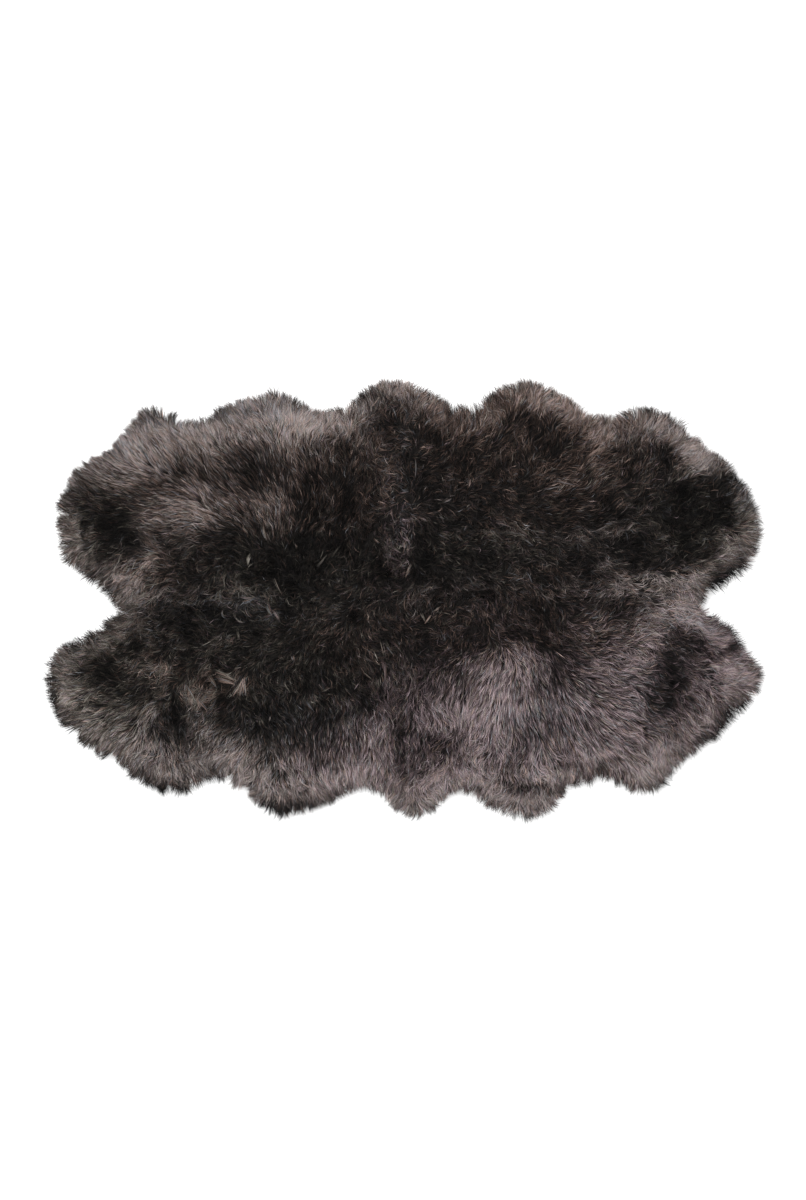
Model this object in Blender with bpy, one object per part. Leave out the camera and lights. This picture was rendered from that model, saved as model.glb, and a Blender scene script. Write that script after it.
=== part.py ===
"""A sheepskin rug of four long-wool pelts, sewn edge to edge in two rows of two and lying flat with the wool up.

Each pelt is one closed solid: a flat underside where the skin lies on the floor, a lumpy top where the wool
ends, a rounded shoulder down to the rim, and separate tapered locks of wool round the rim, level on the floor.
Metres, +Z up. The origin is on the floor, under the middle of the rug. +X runs along the rug's long side and
+Y towards its back row.
"""

import math
import random
from typing import NamedTuple

import bmesh
import bpy
from mathutils import Vector, noise
from mathutils.geometry import delaunay_2d_cdt, intersect_point_line

# The wool's heights over the floor
CROWN_HEIGHT = 0.055  # the middle of a pelt
RIM_HEIGHT = 0.020  # where the locks leave the rim
LOCK_MIDDLE_HEIGHT = 0.013
LOCK_TIP_HEIGHT = 0.004
LEAST_HEIGHT = 0.018  # the bottom of the deepest crease
SHOULDER_WIDTH = 0.095  # from the rim to where the wool has its full height

# The sewn seams between the pelts
SEAM_GAP = 0.0004
SEAM_DIP = 0.011
SEAM_DIP_WIDTH = 0.034

# The locks round the rim
LOCK_PITCH = 0.0195
LOCK_LENGTH = 0.026
LOCK_MIDDLE_SHARE = 0.55  # of the lock's length, from its root
LOCK_MIDDLE_WIDTH = 0.50  # of the pitch
LEAST_LOCK_REACH = 0.78  # the shortest lock's length, and the longest one's, as shares of LOCK_LENGTH
MOST_LOCK_REACH = 1.28
LOCK_LEAN = 0.45  # how far a tip leans along the rim, in pitches
RIM_TURN = 4  # the locks over which the rim turns from along a seam to along the edge

# The lumps of the wool, as two sizes of soft noise
TUFT_SIZE = 0.085
TUFT_RISE = 0.0065
CURL_SIZE = 0.032
CURL_RISE = 0.0030

# The points that carry the top's shape
TOP_PITCH = 0.030
SHOULDER_RINGS = (0.016, 0.042)  # metres in from the rim
EDGE_STEPS = 12  # curve steps between two points of an edge table
SEED = 7


class EdgePoint(NamedTuple):
    """A point that a pelt's outer edge passes through, at the tips of its locks, or that a seam passes."""

    name: str
    x: float
    y: float


class Mound(NamedTuple):
    """A soft rise of the wool, or a hollow where rise is negative."""

    name: str
    x: float
    y: float
    reach_x: float
    reach_y: float
    rise: float


class Crease(NamedTuple):
    """A soft trough that the wool parts along, from one point to another."""

    name: str
    x0: float
    y0: float
    x1: float
    y1: float
    half_width: float
    depth: float


# The seams run in from the edge to the crossing, where the four pelts meet.
CROSSING = EdgePoint("crossing", -0.026, -0.004)
LEFT_SEAM = (
    EdgePoint("left notch", -0.706, -0.016),
    EdgePoint("left row seam", -0.530, -0.006),
    EdgePoint("near the crossing", -0.300, -0.010),
    CROSSING,
)
RIGHT_SEAM = (
    EdgePoint("right notch", 0.746, -0.004),
    EdgePoint("right row seam", 0.530, 0.015),
    EdgePoint("near the crossing", 0.260, 0.004),
    CROSSING,
)
BACK_SEAM = (
    EdgePoint("back end", -0.046, 0.549),
    EdgePoint("neck seam", -0.059, 0.370),
    EdgePoint("near the crossing", -0.056, 0.170),
    CROSSING,
)
FRONT_SEAM = (
    EdgePoint("front end", -0.014, -0.521),
    EdgePoint("flank seam", -0.016, -0.380),
    EdgePoint("near the crossing", -0.016, -0.200),
    CROSSING,
)

# The outer edges run clockwise, seen from above, from one seam's end to the next.
BACK_LEFT_EDGE = (
    EdgePoint("left notch", -0.706, -0.016),
    EdgePoint("under the end", -0.796, 0.054),
    EdgePoint("end, low", -0.847, 0.096),
    EdgePoint("end", -0.866, 0.170),
    EdgePoint("end, high", -0.856, 0.256),
    EdgePoint("rump", -0.806, 0.340),
    EdgePoint("leg root", -0.700, 0.416),
    EdgePoint("hind leg, outer", -0.655, 0.468),
    EdgePoint("hind leg", -0.594, 0.474),
    EdgePoint("flank notch", -0.526, 0.446),
    EdgePoint("fore leg, outer", -0.406, 0.505),
    EdgePoint("fore leg", -0.316, 0.521),
    EdgePoint("neck notch", -0.201, 0.469),
    EdgePoint("neck flank", -0.126, 0.499),
    EdgePoint("neck", -0.080, 0.540),
    EdgePoint("back end", -0.046, 0.549),
)
BACK_RIGHT_EDGE = (
    EdgePoint("back end", -0.046, 0.549),
    EdgePoint("neck", -0.006, 0.550),
    EdgePoint("neck flank", 0.064, 0.521),
    EdgePoint("neck notch", 0.161, 0.478),
    EdgePoint("fore leg, inner", 0.246, 0.532),
    EdgePoint("fore leg", 0.309, 0.551),
    EdgePoint("fore leg, outer", 0.372, 0.531),
    EdgePoint("flank notch", 0.509, 0.450),
    EdgePoint("hind leg, inner", 0.548, 0.470),
    EdgePoint("hind leg", 0.606, 0.479),
    EdgePoint("hind leg, outer", 0.668, 0.458),
    EdgePoint("rump", 0.736, 0.402),
    EdgePoint("end, high", 0.806, 0.353),
    EdgePoint("end, top", 0.886, 0.239),
    EdgePoint("end", 0.899, 0.176),
    EdgePoint("end, low", 0.882, 0.110),
    EdgePoint("under the end", 0.836, 0.053),
    EdgePoint("right notch", 0.746, -0.004),
)
FRONT_RIGHT_EDGE = (
    EdgePoint("right notch", 0.746, -0.004),
    EdgePoint("end, high", 0.850, -0.104),
    EdgePoint("end", 0.893, -0.184),
    EdgePoint("tail", 0.897, -0.234),
    EdgePoint("tail, inner", 0.853, -0.266),
    EdgePoint("rump", 0.776, -0.356),
    EdgePoint("rump, low", 0.718, -0.396),
    EdgePoint("hind leg", 0.619, -0.489),
    EdgePoint("hind leg, inner", 0.550, -0.470),
    EdgePoint("flank notch", 0.474, -0.455),
    EdgePoint("fore leg, outer", 0.396, -0.520),
    EdgePoint("fore leg", 0.306, -0.552),
    EdgePoint("fore leg, inner", 0.216, -0.520),
    EdgePoint("neck notch", 0.140, -0.486),
    EdgePoint("neck flank", 0.084, -0.522),
    EdgePoint("neck", 0.038, -0.550),
    EdgePoint("neck, inner", 0.004, -0.548),
    EdgePoint("front end", -0.014, -0.521),
)
FRONT_LEFT_EDGE = (
    EdgePoint("front end", -0.014, -0.521),
    EdgePoint("neck notch", -0.091, -0.473),
    EdgePoint("fore leg, inner", -0.196, -0.521),
    EdgePoint("fore leg", -0.292, -0.547),
    EdgePoint("fore leg, outer", -0.366, -0.520),
    EdgePoint("flank notch", -0.458, -0.447),
    EdgePoint("hind leg, inner", -0.520, -0.471),
    EdgePoint("hind leg", -0.586, -0.490),
    EdgePoint("rump, low", -0.731, -0.406),
    EdgePoint("rump", -0.824, -0.346),
    EdgePoint("end, low", -0.885, -0.255),
    EdgePoint("end", -0.894, -0.172),
    EdgePoint("end, high", -0.860, -0.126),
    EdgePoint("over the end", -0.756, -0.066),
    EdgePoint("left notch", -0.706, -0.016),
)

MOUNDS = (
    Mound("back left rump", -0.640, 0.220, 0.160, 0.120, 0.004),
    Mound("back left saddle", -0.300, 0.300, 0.150, 0.120, 0.005),
    Mound("back right saddle", 0.200, 0.280, 0.160, 0.130, 0.004),
    Mound("back right rump", 0.640, 0.200, 0.130, 0.120, 0.005),
    Mound("front left rump", -0.640, -0.220, 0.130, 0.110, 0.004),
    Mound("front left saddle", -0.230, -0.200, 0.170, 0.120, 0.005),
    Mound("front right saddle", 0.300, -0.220, 0.170, 0.130, 0.006),
    Mound("front right rump", 0.740, -0.180, 0.080, 0.100, 0.004),
    Mound("front right hollow", 0.660, -0.210, 0.036, 0.110, -0.009),
    Mound("back right hollow", 0.400, 0.380, 0.090, 0.050, -0.005),
    Mound("back left hollow", -0.740, 0.170, 0.050, 0.070, -0.005),
    Mound("front left hollow", -0.760, -0.190, 0.060, 0.050, -0.005),
)

CREASES = (
    Crease("back left end", -0.804, 0.220, -0.801, 0.120, 0.013, 0.012),
    Crease("back left shoulder", -0.200, 0.110, -0.420, 0.060, 0.022, 0.008),
    Crease("back right loin", 0.290, 0.280, 0.500, 0.320, 0.020, 0.007),
    Crease("back right belly", 0.470, 0.040, 0.700, 0.030, 0.018, 0.009),
    Crease("front left flank, outer", -0.571, -0.229, -0.556, -0.384, 0.016, 0.013),
    Crease("front left flank, inner", -0.486, -0.184, -0.471, -0.284, 0.014, 0.011),
    Crease("front right fold", 0.330, -0.395, 0.600, -0.372, 0.012, 0.013),
    Crease("front right leg fold", 0.290, -0.470, 0.400, -0.466, 0.010, 0.008),
    Crease("front right whorl", 0.270, -0.120, 0.360, -0.085, 0.020, 0.007),
)


class Line:
    """A polyline in plan that can tell how far a point is from it."""

    def __init__(self, points):
        self.points = [Vector(point) for point in points]

    def distance(self, point):
        """How far a point is from the line, in metres."""
        return min(segment_distance(point, a, b) for a, b in zip(self.points, self.points[1:]))

    def evenly(self, pitch, start=0.0):
        """Points about a pitch apart from start to the line's end, both among them, each with its way along."""
        lengths = [(b - a).length for a, b in zip(self.points, self.points[1:])]
        count = max(1, round((sum(lengths) - start) / pitch))
        step = (sum(lengths) - start) / count
        found = []
        segment, passed = 0, 0.0
        for index in range(count + 1):
            along = min(start + index * step, sum(lengths) - 1e-9)
            while along > passed + lengths[segment]:
                passed += lengths[segment]
                segment += 1
            a, b = self.points[segment], self.points[segment + 1]
            found.append((a.lerp(b, (along - passed) / lengths[segment]), (b - a).normalized()))
        return found


def segment_distance(point, a, b):
    """The distance in plan from a point to the segment from a to b."""
    nearest, share = intersect_point_line(point, a, b)
    if share <= 0.0:
        return (point - a).length
    if share >= 1.0:
        return (point - b).length
    return (point - nearest.xy).length


def smooth_curve(table):
    """A round curve in plan through the points of an edge table, which keeps to the points' own spacing."""
    knots = [Vector((row.x, row.y)) for row in table]
    knots = [2 * knots[0] - knots[1], *knots, 2 * knots[-1] - knots[-2]]
    curve = []
    for p0, p1, p2, p3 in zip(knots, knots[1:], knots[2:], knots[3:]):
        t1 = math.sqrt((p1 - p0).length)
        t2 = t1 + math.sqrt((p2 - p1).length)
        t3 = t2 + math.sqrt((p3 - p2).length)
        for step in range(EDGE_STEPS):
            t = t1 + (t2 - t1) * step / EDGE_STEPS
            a1 = p0.lerp(p1, t / t1)
            a2 = p1.lerp(p2, (t - t1) / (t2 - t1))
            a3 = p2.lerp(p3, (t - t2) / (t3 - t2))
            b1 = a1.lerp(a2, t / t2)
            b2 = a2.lerp(a3, (t - t1) / (t3 - t1))
            curve.append(b1.lerp(b2, (t - t1) / (t2 - t1)))
    return Line([*curve, knots[-2]])


def left_of(direction):
    """The direction in plan a quarter turn to the left."""
    return Vector((-direction.y, direction.x))


def seam_sides(first_seam, second_seam):
    """A pelt's sewn sides: in along the seam that its edge ends at, and back out along the one it starts from."""
    half_gap = SEAM_GAP / 2
    inward = first_seam.evenly(TOP_PITCH, LOCK_LENGTH)
    outward = second_seam.evenly(TOP_PITCH, LOCK_LENGTH)[::-1]
    corner, last_way = inward[-1]
    corner = corner + (left_of(outward[0][1]) - left_of(last_way)) * half_gap
    going_in = [point - left_of(way) * half_gap for point, way in inward[:-1]]
    going_out = [point + left_of(way) * half_gap for point, way in outward[1:]]
    return [*going_in, corner, *going_out]


def rim_of(edge, sides):
    """The rim that the locks grow from, a lock's length inside the outer edge, from one seam to the other."""
    stations = edge.evenly(LOCK_PITCH)
    last = len(stations) - 1
    start_inset = sides[-1] - stations[0][0]
    end_inset = sides[0] - stations[last][0]
    points = [sides[-1]]
    for index in range(1, last):
        point, way = stations[index]
        by_seam = start_inset if index < last / 2 else end_inset
        turned = min(index, last - index, RIM_TURN) / RIM_TURN
        points.append(point + by_seam.lerp(-left_of(way) * LOCK_LENGTH, turned))
    return Line([*points, sides[0]])


def locks_round(edge, rim, rng):
    """The plan of the locks along an outer edge: points in turn, each with the height of the wool there."""
    stations = [point for point, _ in edge.evenly(LOCK_PITCH)]
    plan = []
    for root, next_root, start, end in zip(rim.points, rim.points[1:], stations, stations[1:]):
        foot = root.lerp(next_root, 0.5)
        out = (start.lerp(end, 0.5) - foot) * rng.uniform(LEAST_LOCK_REACH, MOST_LOCK_REACH)
        lean = (end - start) * LOCK_LEAN * rng.uniform(-1, 1)
        half = (end - start) * LOCK_MIDDLE_WIDTH / 2
        middle = foot + out * LOCK_MIDDLE_SHARE + lean * LOCK_MIDDLE_SHARE**2
        plan.append((root, RIM_HEIGHT))
        plan.append((middle - half, LOCK_MIDDLE_HEIGHT))
        plan.append((foot + out + lean, LOCK_TIP_HEIGHT))
        plan.append((middle + half, LOCK_MIDDLE_HEIGHT))
    return plan


def wool_height(point, rim, seams):
    """The height of the wool's top over a point inside a pelt's rim."""
    inward = min(rim.distance(point) / SHOULDER_WIDTH, 1.0)
    height = RIM_HEIGHT + (CROWN_HEIGHT - RIM_HEIGHT) * math.sqrt(1 - (1 - inward) ** 2)
    to_seam = min(seam.distance(point) for seam in seams)
    height -= SEAM_DIP * inward * math.exp(-((to_seam / SEAM_DIP_WIDTH) ** 2))
    for mound in MOUNDS:
        away = ((point.x - mound.x) / mound.reach_x) ** 2 + ((point.y - mound.y) / mound.reach_y) ** 2
        height += mound.rise * math.exp(-away)
    for crease in CREASES:
        start, end = Vector((crease.x0, crease.y0)), Vector((crease.x1, crease.y1))
        height -= crease.depth * math.exp(-((segment_distance(point, start, end) / crease.half_width) ** 2))
    tuft = noise.noise(Vector((*point, 0.0)) / TUFT_SIZE) * TUFT_RISE
    curl = noise.noise(Vector((*point, TUFT_SIZE)) / CURL_SIZE) * CURL_RISE
    return max(height + (tuft + curl) * inward, LEAST_HEIGHT)


def inside(point, loop):
    """Whether a point lies inside a closed loop of points."""
    crossings = 0
    for a, b in zip(loop, [*loop[1:], loop[0]]):
        if (a.y > point.y) != (b.y > point.y):
            crossings += point.x < a.x + (point.y - a.y) * (b.x - a.x) / (b.y - a.y)
    return crossings % 2 == 1


def top_points(edge, rim, seams, rim_loop, rng):
    """The free points of the wool's top: two rings along the shoulder, then a jittered field of triangles."""
    found = []
    for inset in SHOULDER_RINGS:
        for point, along in edge.evenly(TOP_PITCH):
            point = point - left_of(along) * (LOCK_LENGTH + inset)
            if inside(point, rim_loop) and rim.distance(point) > inset * 0.8:
                found.append(point)
    field_inset = SHOULDER_RINGS[-1] + TOP_PITCH * 0.7
    columns = math.ceil(1.0 / TOP_PITCH)
    row_pitch = TOP_PITCH * math.sqrt(3) / 2
    rows = math.ceil(0.62 / row_pitch)
    for row in range(-rows, rows + 1):
        for column in range(-columns, columns + 1):
            x = (column + 0.5 * (row % 2)) * TOP_PITCH + rng.uniform(-0.2, 0.2) * TOP_PITCH
            y = row * row_pitch + rng.uniform(-0.2, 0.2) * TOP_PITCH
            point = Vector((x, y))
            if inside(point, rim_loop) and rim.distance(point) > field_inset:
                found.append(point)
    clear_of_seams = TOP_PITCH * 0.55
    return [point for point in found if min(seam.distance(point) for seam in seams) > clear_of_seams]


def wool_material():
    """Dull dyed wool, near black with a brown cast."""
    material = bpy.data.materials.new("dyed_wool")
    material.use_nodes = True
    shader = material.node_tree.nodes["Principled BSDF"]
    shader.inputs["Base Color"].default_value = (0.052, 0.043, 0.041, 1.0)
    shader.inputs["Roughness"].default_value = 0.85
    shader.inputs["Metallic"].default_value = 0.0
    return material


def pelt(name, edge_table, first_seam, second_seam, material):
    """One pelt, from its outer edge, the seam that the edge ends at and the seam that it starts from."""
    rng = random.Random(f"{SEED} {name}")
    edge = smooth_curve(edge_table)
    seams = (first_seam, second_seam)
    sides = seam_sides(*seams)
    rim = rim_of(edge, sides)
    # The locks' plan starts with the last point of the sewn sides.
    plan = locks_round(edge, rim, rng) + [(point, wool_height(point, rim, seams)) for point in sides[:-1]]
    loop = [point for point, _ in plan]
    free = top_points(edge, rim, seams, rim.points + sides[1:-1], rng)
    heights = [height for _, height in plan] + [wool_height(point, rim, seams) for point in free]

    face = [list(range(len(loop)))]
    inside_edges_only = 1
    points, _, faces, origins, _, _ = delaunay_2d_cdt(loop + free, [], face, inside_edges_only, 1e-6)
    shape = bmesh.new()
    tops = [
        shape.verts.new((*point, heights[origin[0]]))
        for point, origin in zip(points, origins)
    ]
    for corners in faces:
        shape.faces.new([tops[index] for index in corners])
    border = [edge_of_top for edge_of_top in shape.edges if edge_of_top.is_boundary]
    walls = bmesh.ops.extrude_edge_only(shape, edges=border)["geom"]
    for vertex in walls:
        if isinstance(vertex, bmesh.types.BMVert):
            vertex.co.z = 0.0
    bmesh.ops.holes_fill(shape, edges=[e for e in shape.edges if e.is_boundary], sides=0)
    bmesh.ops.recalc_face_normals(shape, faces=shape.faces)

    mesh = bpy.data.meshes.new(name)
    shape.to_mesh(mesh)
    shape.free()
    mesh.shade_smooth()
    mesh.set_sharp_from_angle(angle=math.radians(50))
    mesh.materials.append(material)
    piece = bpy.data.objects.new(name, mesh)
    bpy.context.scene.collection.objects.link(piece)
    return piece


def centre_over_origin(pieces):
    """Moves the meshes so that the middle of the rug's box is over the origin, with the floor at z = 0."""
    corners = [vertex.co for piece in pieces for vertex in piece.data.vertices]
    middle_x = (min(c.x for c in corners) + max(c.x for c in corners)) / 2
    middle_y = (min(c.y for c in corners) + max(c.y for c in corners)) / 2
    for piece in pieces:
        for vertex in piece.data.vertices:
            vertex.co.x -= middle_x
            vertex.co.y -= middle_y


def main():
    """Clears the scene and makes the four pelts."""
    for old in list(bpy.data.objects):
        bpy.data.objects.remove(old)
    wool = wool_material()
    left, right = smooth_curve(LEFT_SEAM), smooth_curve(RIGHT_SEAM)
    back, front = smooth_curve(BACK_SEAM), smooth_curve(FRONT_SEAM)
    centre_over_origin(
        [
            pelt("pelt_back_left", BACK_LEFT_EDGE, back, left, wool),
            pelt("pelt_back_right", BACK_RIGHT_EDGE, right, back, wool),
            pelt("pelt_front_right", FRONT_RIGHT_EDGE, front, right, wool),
            pelt("pelt_front_left", FRONT_LEFT_EDGE, left, front, wool),
        ]
    )


main()
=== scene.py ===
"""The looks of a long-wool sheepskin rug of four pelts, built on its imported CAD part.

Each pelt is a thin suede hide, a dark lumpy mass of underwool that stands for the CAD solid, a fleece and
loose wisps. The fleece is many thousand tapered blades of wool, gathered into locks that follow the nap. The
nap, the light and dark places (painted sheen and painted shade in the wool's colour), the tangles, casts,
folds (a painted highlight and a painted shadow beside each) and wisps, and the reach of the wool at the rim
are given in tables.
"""

import logging  # noqa: E402
import math  # noqa: E402
from dataclasses import dataclass, field  # noqa: E402
from enum import Enum  # noqa: E402
from typing import Any, NamedTuple  # noqa: E402

import bmesh  # noqa: E402
import bpy  # noqa: E402
import numpy as np  # noqa: E402
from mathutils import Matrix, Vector  # noqa: E402
from mathutils.bvhtree import BVHTree  # noqa: E402


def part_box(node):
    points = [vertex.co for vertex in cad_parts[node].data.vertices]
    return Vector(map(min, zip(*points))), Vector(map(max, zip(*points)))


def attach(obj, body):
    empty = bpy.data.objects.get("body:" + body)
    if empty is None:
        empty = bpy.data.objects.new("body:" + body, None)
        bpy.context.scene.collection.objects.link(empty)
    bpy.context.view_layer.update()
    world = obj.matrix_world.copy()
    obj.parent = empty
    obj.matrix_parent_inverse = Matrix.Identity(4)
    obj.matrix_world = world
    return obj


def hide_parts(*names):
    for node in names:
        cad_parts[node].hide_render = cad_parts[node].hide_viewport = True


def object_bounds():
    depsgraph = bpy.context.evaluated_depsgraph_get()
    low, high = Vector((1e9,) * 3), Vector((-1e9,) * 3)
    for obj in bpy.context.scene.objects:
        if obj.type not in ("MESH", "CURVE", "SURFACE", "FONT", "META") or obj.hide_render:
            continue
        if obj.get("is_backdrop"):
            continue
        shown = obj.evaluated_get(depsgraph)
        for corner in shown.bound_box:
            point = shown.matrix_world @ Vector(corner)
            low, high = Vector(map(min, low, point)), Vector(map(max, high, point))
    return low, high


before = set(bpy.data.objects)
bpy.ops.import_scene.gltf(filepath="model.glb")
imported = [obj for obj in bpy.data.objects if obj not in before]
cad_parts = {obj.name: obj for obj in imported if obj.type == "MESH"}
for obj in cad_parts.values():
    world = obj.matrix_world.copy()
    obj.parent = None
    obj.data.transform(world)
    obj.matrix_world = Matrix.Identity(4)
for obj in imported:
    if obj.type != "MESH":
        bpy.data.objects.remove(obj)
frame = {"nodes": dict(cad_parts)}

logging.basicConfig(level=logging.INFO, format="%(message)s")
log = logging.getLogger("sheepskin_rug")

Array = np.ndarray
Chance = np.random.Generator
Pair = tuple[float, float]
Triple = tuple[float, float, float]

STEP = 0.0025  # the unit of the plan tables below, in metres, from the rug's middle
SEED = 20
TINY = 1e-6  # points closer than this, in metres, are one, and a slope is never taken to be less
NO_LENGTH = 1e-9  # a blade's direction is never taken to be shorter
LAST_CELL = 1.001  # a grid is read no nearer to its last point than this, in grid points from its count
ON_FLOOR = 1e-5  # a CAD point lower than this stands on the floor
BELL_POWER = 1.25  # how steeply a table's soft-edged place falls off
BAND_MARGIN = 0.1  # the share of a dye's band on the UV map that stays free at each side
BAND_SPAN = 0.8  # the share of the band that the tone runs over


class Dye(Enum):
    """The casts of the dyed wool, as bands of the fleece's own UV map."""

    TAUPE = 0
    BROWN = 1
    MAUVE = 2
    OLIVE = 3
    SLATE = 4


class Nap(NamedTuple):
    """The way the tips of the wool point at a place, in degrees from +X towards +Y."""

    place: str
    x: float
    y: float
    heading: float


class SheenAndShadePatch(NamedTuple):
    """A soft-edged place of painted sheen, or of painted shade where tone is negative, where the nap lies
    flat or stands up.
    """

    place: str
    x: float
    y: float
    reach_x: float
    reach_y: float
    tone: float
    turn: float = 0.0


class Tangle(NamedTuple):
    """A place where the locks curl and cross more, or lie combed where the amount is negative."""

    place: str
    x: float
    y: float
    reach_x: float
    reach_y: float
    amount: float


class Cast(NamedTuple):
    """A place where a share of the wool has another cast than taupe."""

    place: str
    dye: Dye
    x: float
    y: float
    reach_x: float
    reach_y: float
    share: float


class PaintedFold(NamedTuple):
    """An edge of wool over wool, painted into the tone: a painted highlight on the left of its line and a
    painted shadow on the right, looking along its turn.

    The line's half length and the depth of the painted highlight and shadow beside it are in steps, the turn
    in degrees.
    """

    place: str
    x: float
    y: float
    turn: float
    half_length: float
    depth: float
    # light is the painted highlight's tone, and dark the painted shadow's.
    light: float
    dark: float

    def tone(self, x: Array, y: Array) -> Array:
        """Works out the painted highlight and painted shadow that the fold adds to the tone.

        Args:
            x: Places along X, in metres.
            y: Places along Y.

        Returns:
            The tone to add at each place.
        """
        turn = math.radians(self.turn)
        apart_x, apart_y = x / STEP - self.x, y / STEP - self.y
        along = (apart_x * math.cos(turn) + apart_y * math.sin(turn)) / self.half_length
        over = (apart_y * math.cos(turn) - apart_x * math.sin(turn)) / self.depth
        fade = np.exp(-(along**4) - np.abs(over))
        return np.where(over > 0, self.light, -self.dark) * fade


class Wisp(NamedTuple):
    """A pale strand loose on the coat: its root and length in steps, its heading and curl in degrees."""

    place: str
    x: float
    y: float
    heading: float
    length: float
    curl: float
    blades: int
    tone: float


class Reach(NamedTuple):
    """Where the rim's wool reaches further out, or less far, in steps of STEP and in metres."""

    place: str
    x: float
    y: float
    reach_x: float
    reach_y: float
    further: float


class Slope(NamedTuple):
    """A value that changes evenly with a share from 0 to 1: its start, and what it gains."""

    start: float
    gain: float

    def at(self, share: Array) -> Array:
        """The value at a share."""
        return self.start + self.gain * share


class Swirl(NamedTuple):
    """Seeded turns of the nap: their size in metres, and their angle in degrees by the coat's tangle."""

    size: float
    turn: Slope
    seed_step: int


class Cloud(NamedTuple):
    """Seeded light and dark clouds in the coat: their size in metres and how much tone they add."""

    size: float
    tone: float
    seed_step: int


class Lean(NamedTuple):
    """How far locks lean over from upright, in degrees, and what a light tone of the coat, its painted sheen,
    and the rim add to it.
    """

    dark: float
    pale: float
    rim: float
    spread: float

    def draw(self, pale: Array, rim: Array, rng: Chance) -> Array:
        """Draws the locks' leans, in radians, by how light the coat's painted tone is and how near to the rim
        they are.
        """
        own = rng.normal(0.0, self.spread, len(pale))
        return np.radians(self.dark + self.pale * pale + self.rim * rim + own)


class Lamp(NamedTuple):
    """A soft square light: its name, place and size in metres, and its power in watts."""

    name: str
    place: Triple
    size: float
    power: float


class Table(list[Any]):
    """Rows of one kind, laid out pelt by pelt."""

    def __init__(self, kind: type) -> None:
        """Starts an empty table for one kind of row."""
        super().__init__()
        self.kind = kind

    def lay(self, pelt: str, *rows: tuple[Any, ...]) -> None:
        """Adds a pelt's rows, each of which starts with its place on the pelt."""
        self.extend(self.kind(f"{pelt} {place}", *values) for place, *values in rows)


NAPS = Table(Nap)
NAPS.lay(
    "back left",
    ("end", -343, 78, 180),
    ("end, low", -338, 38, 205),
    ("under the end", -303, 18, 205),
    ("by the notch", -283, 0, 214),
    ("rump", -328, 128, 146),
    ("rump, inner", -303, 138, 138),
    ("leg root", -283, 158, 126),
    ("hind leg", -248, 178, 112),
    ("hind leg, inner", -223, 183, 80),
    ("flank notch", -208, 178, 100),
    ("flank", -223, 148, 128),
    ("flank, inner", -173, 148, 131),
    ("saddle edge", -163, 158, 121),
    ("saddle, outer", -233, 88, 173),
    ("saddle", -193, 98, 140),
    ("back", -153, 108, 126),
    ("back, inner", -133, 98, 112),
    ("fore leg", -133, 198, 96),
    ("fore leg, outer", -163, 198, 120),
    ("fore leg, inner", -103, 188, 80),
    ("neck notch", -73, 178, 92),
    ("neck flank", -53, 198, 80),
    ("neck", -23, 213, 100),
    ("withers", -113, 118, 100),
    ("shoulder", -63, 148, 85),
    ("belly, inner", -63, 78, 66),
    ("belly", -83, 48, 62),
    ("by the neck seam", -43, 112, 72),
    ("by the neck seam, high", -38, 160, 62),
    ("loin", -243, 38, 182),
    ("groin", -253, -2, 200),
    ("under back", -183, 38, 168),
    ("under back, low", -153, 8, 200),
    ("rump, low", -273, 108, 163),
)
NAPS.lay(
    "middle",
    ("neck seam, high", -6, 148, 200),
    ("neck seam", -14, 92, 205),
    ("neck seam crease", 4, 72, 300),
    ("neck seam crease, low", 7, 44, 262),
    ("neck seam, low", -6, 28, 215),
    ("flank seam, high", -10, -50, 300),
    ("flank seam", -14, -100, 268),
    ("flank seam, low", -8, -182, 270),
)
NAPS.lay(
    "back right",
    ("neck, low", 18, 134, 55),
    ("neck, lower", 14, 108, 60),
    ("neck", 0, 208, 95),
    ("neck flank", 27, 198, 75),
    ("neck notch", 60, 188, 92),
    ("fore leg, inner", 92, 198, 117),
    ("fore leg", 122, 213, 92),
    ("fore leg, outer", 152, 198, 68),
    ("flank", 177, 188, 58),
    ("flank notch", 197, 168, 55),
    ("flank, low", 197, 150, 38),
    ("hind leg, inner", 222, 183, 100),
    ("hind leg", 240, 188, 80),
    ("hind leg, outer", 257, 178, 52),
    ("leg root", 287, 158, 44),
    ("rump", 302, 140, 38),
    ("end, high", 332, 128, 38),
    ("end, top", 342, 108, 20),
    ("end", 352, 78, 4),
    ("end, low", 350, 48, -12),
    ("under the end", 337, 28, -25),
    ("by the notch", 312, 8, -33),
    ("hock", 247, 168, 60),
    ("croup", 277, 138, 50),
    ("saddle", 137, 148, 72),
    ("saddle, inner", 77, 168, 72),
    ("withers", 97, 148, 50),
    ("loin", 157, 112, 12),
    ("loin, outer", 197, 120, 38),
    ("hollow", 300, 90, 15),
    ("belly", 237, 68, 16),
    ("belly, inner", 117, 68, -25),
    ("under back", 47, 98, 10),
    ("under back, low", 47, 38, 0),
    ("groin", 197, 38, -4),
    ("groin, low", 247, 18, 12),
    ("seam", 197, 8, 0),
    ("seam, outer", 277, 10, -6),
    ("stifle", 297, 56, -6),
)
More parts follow.
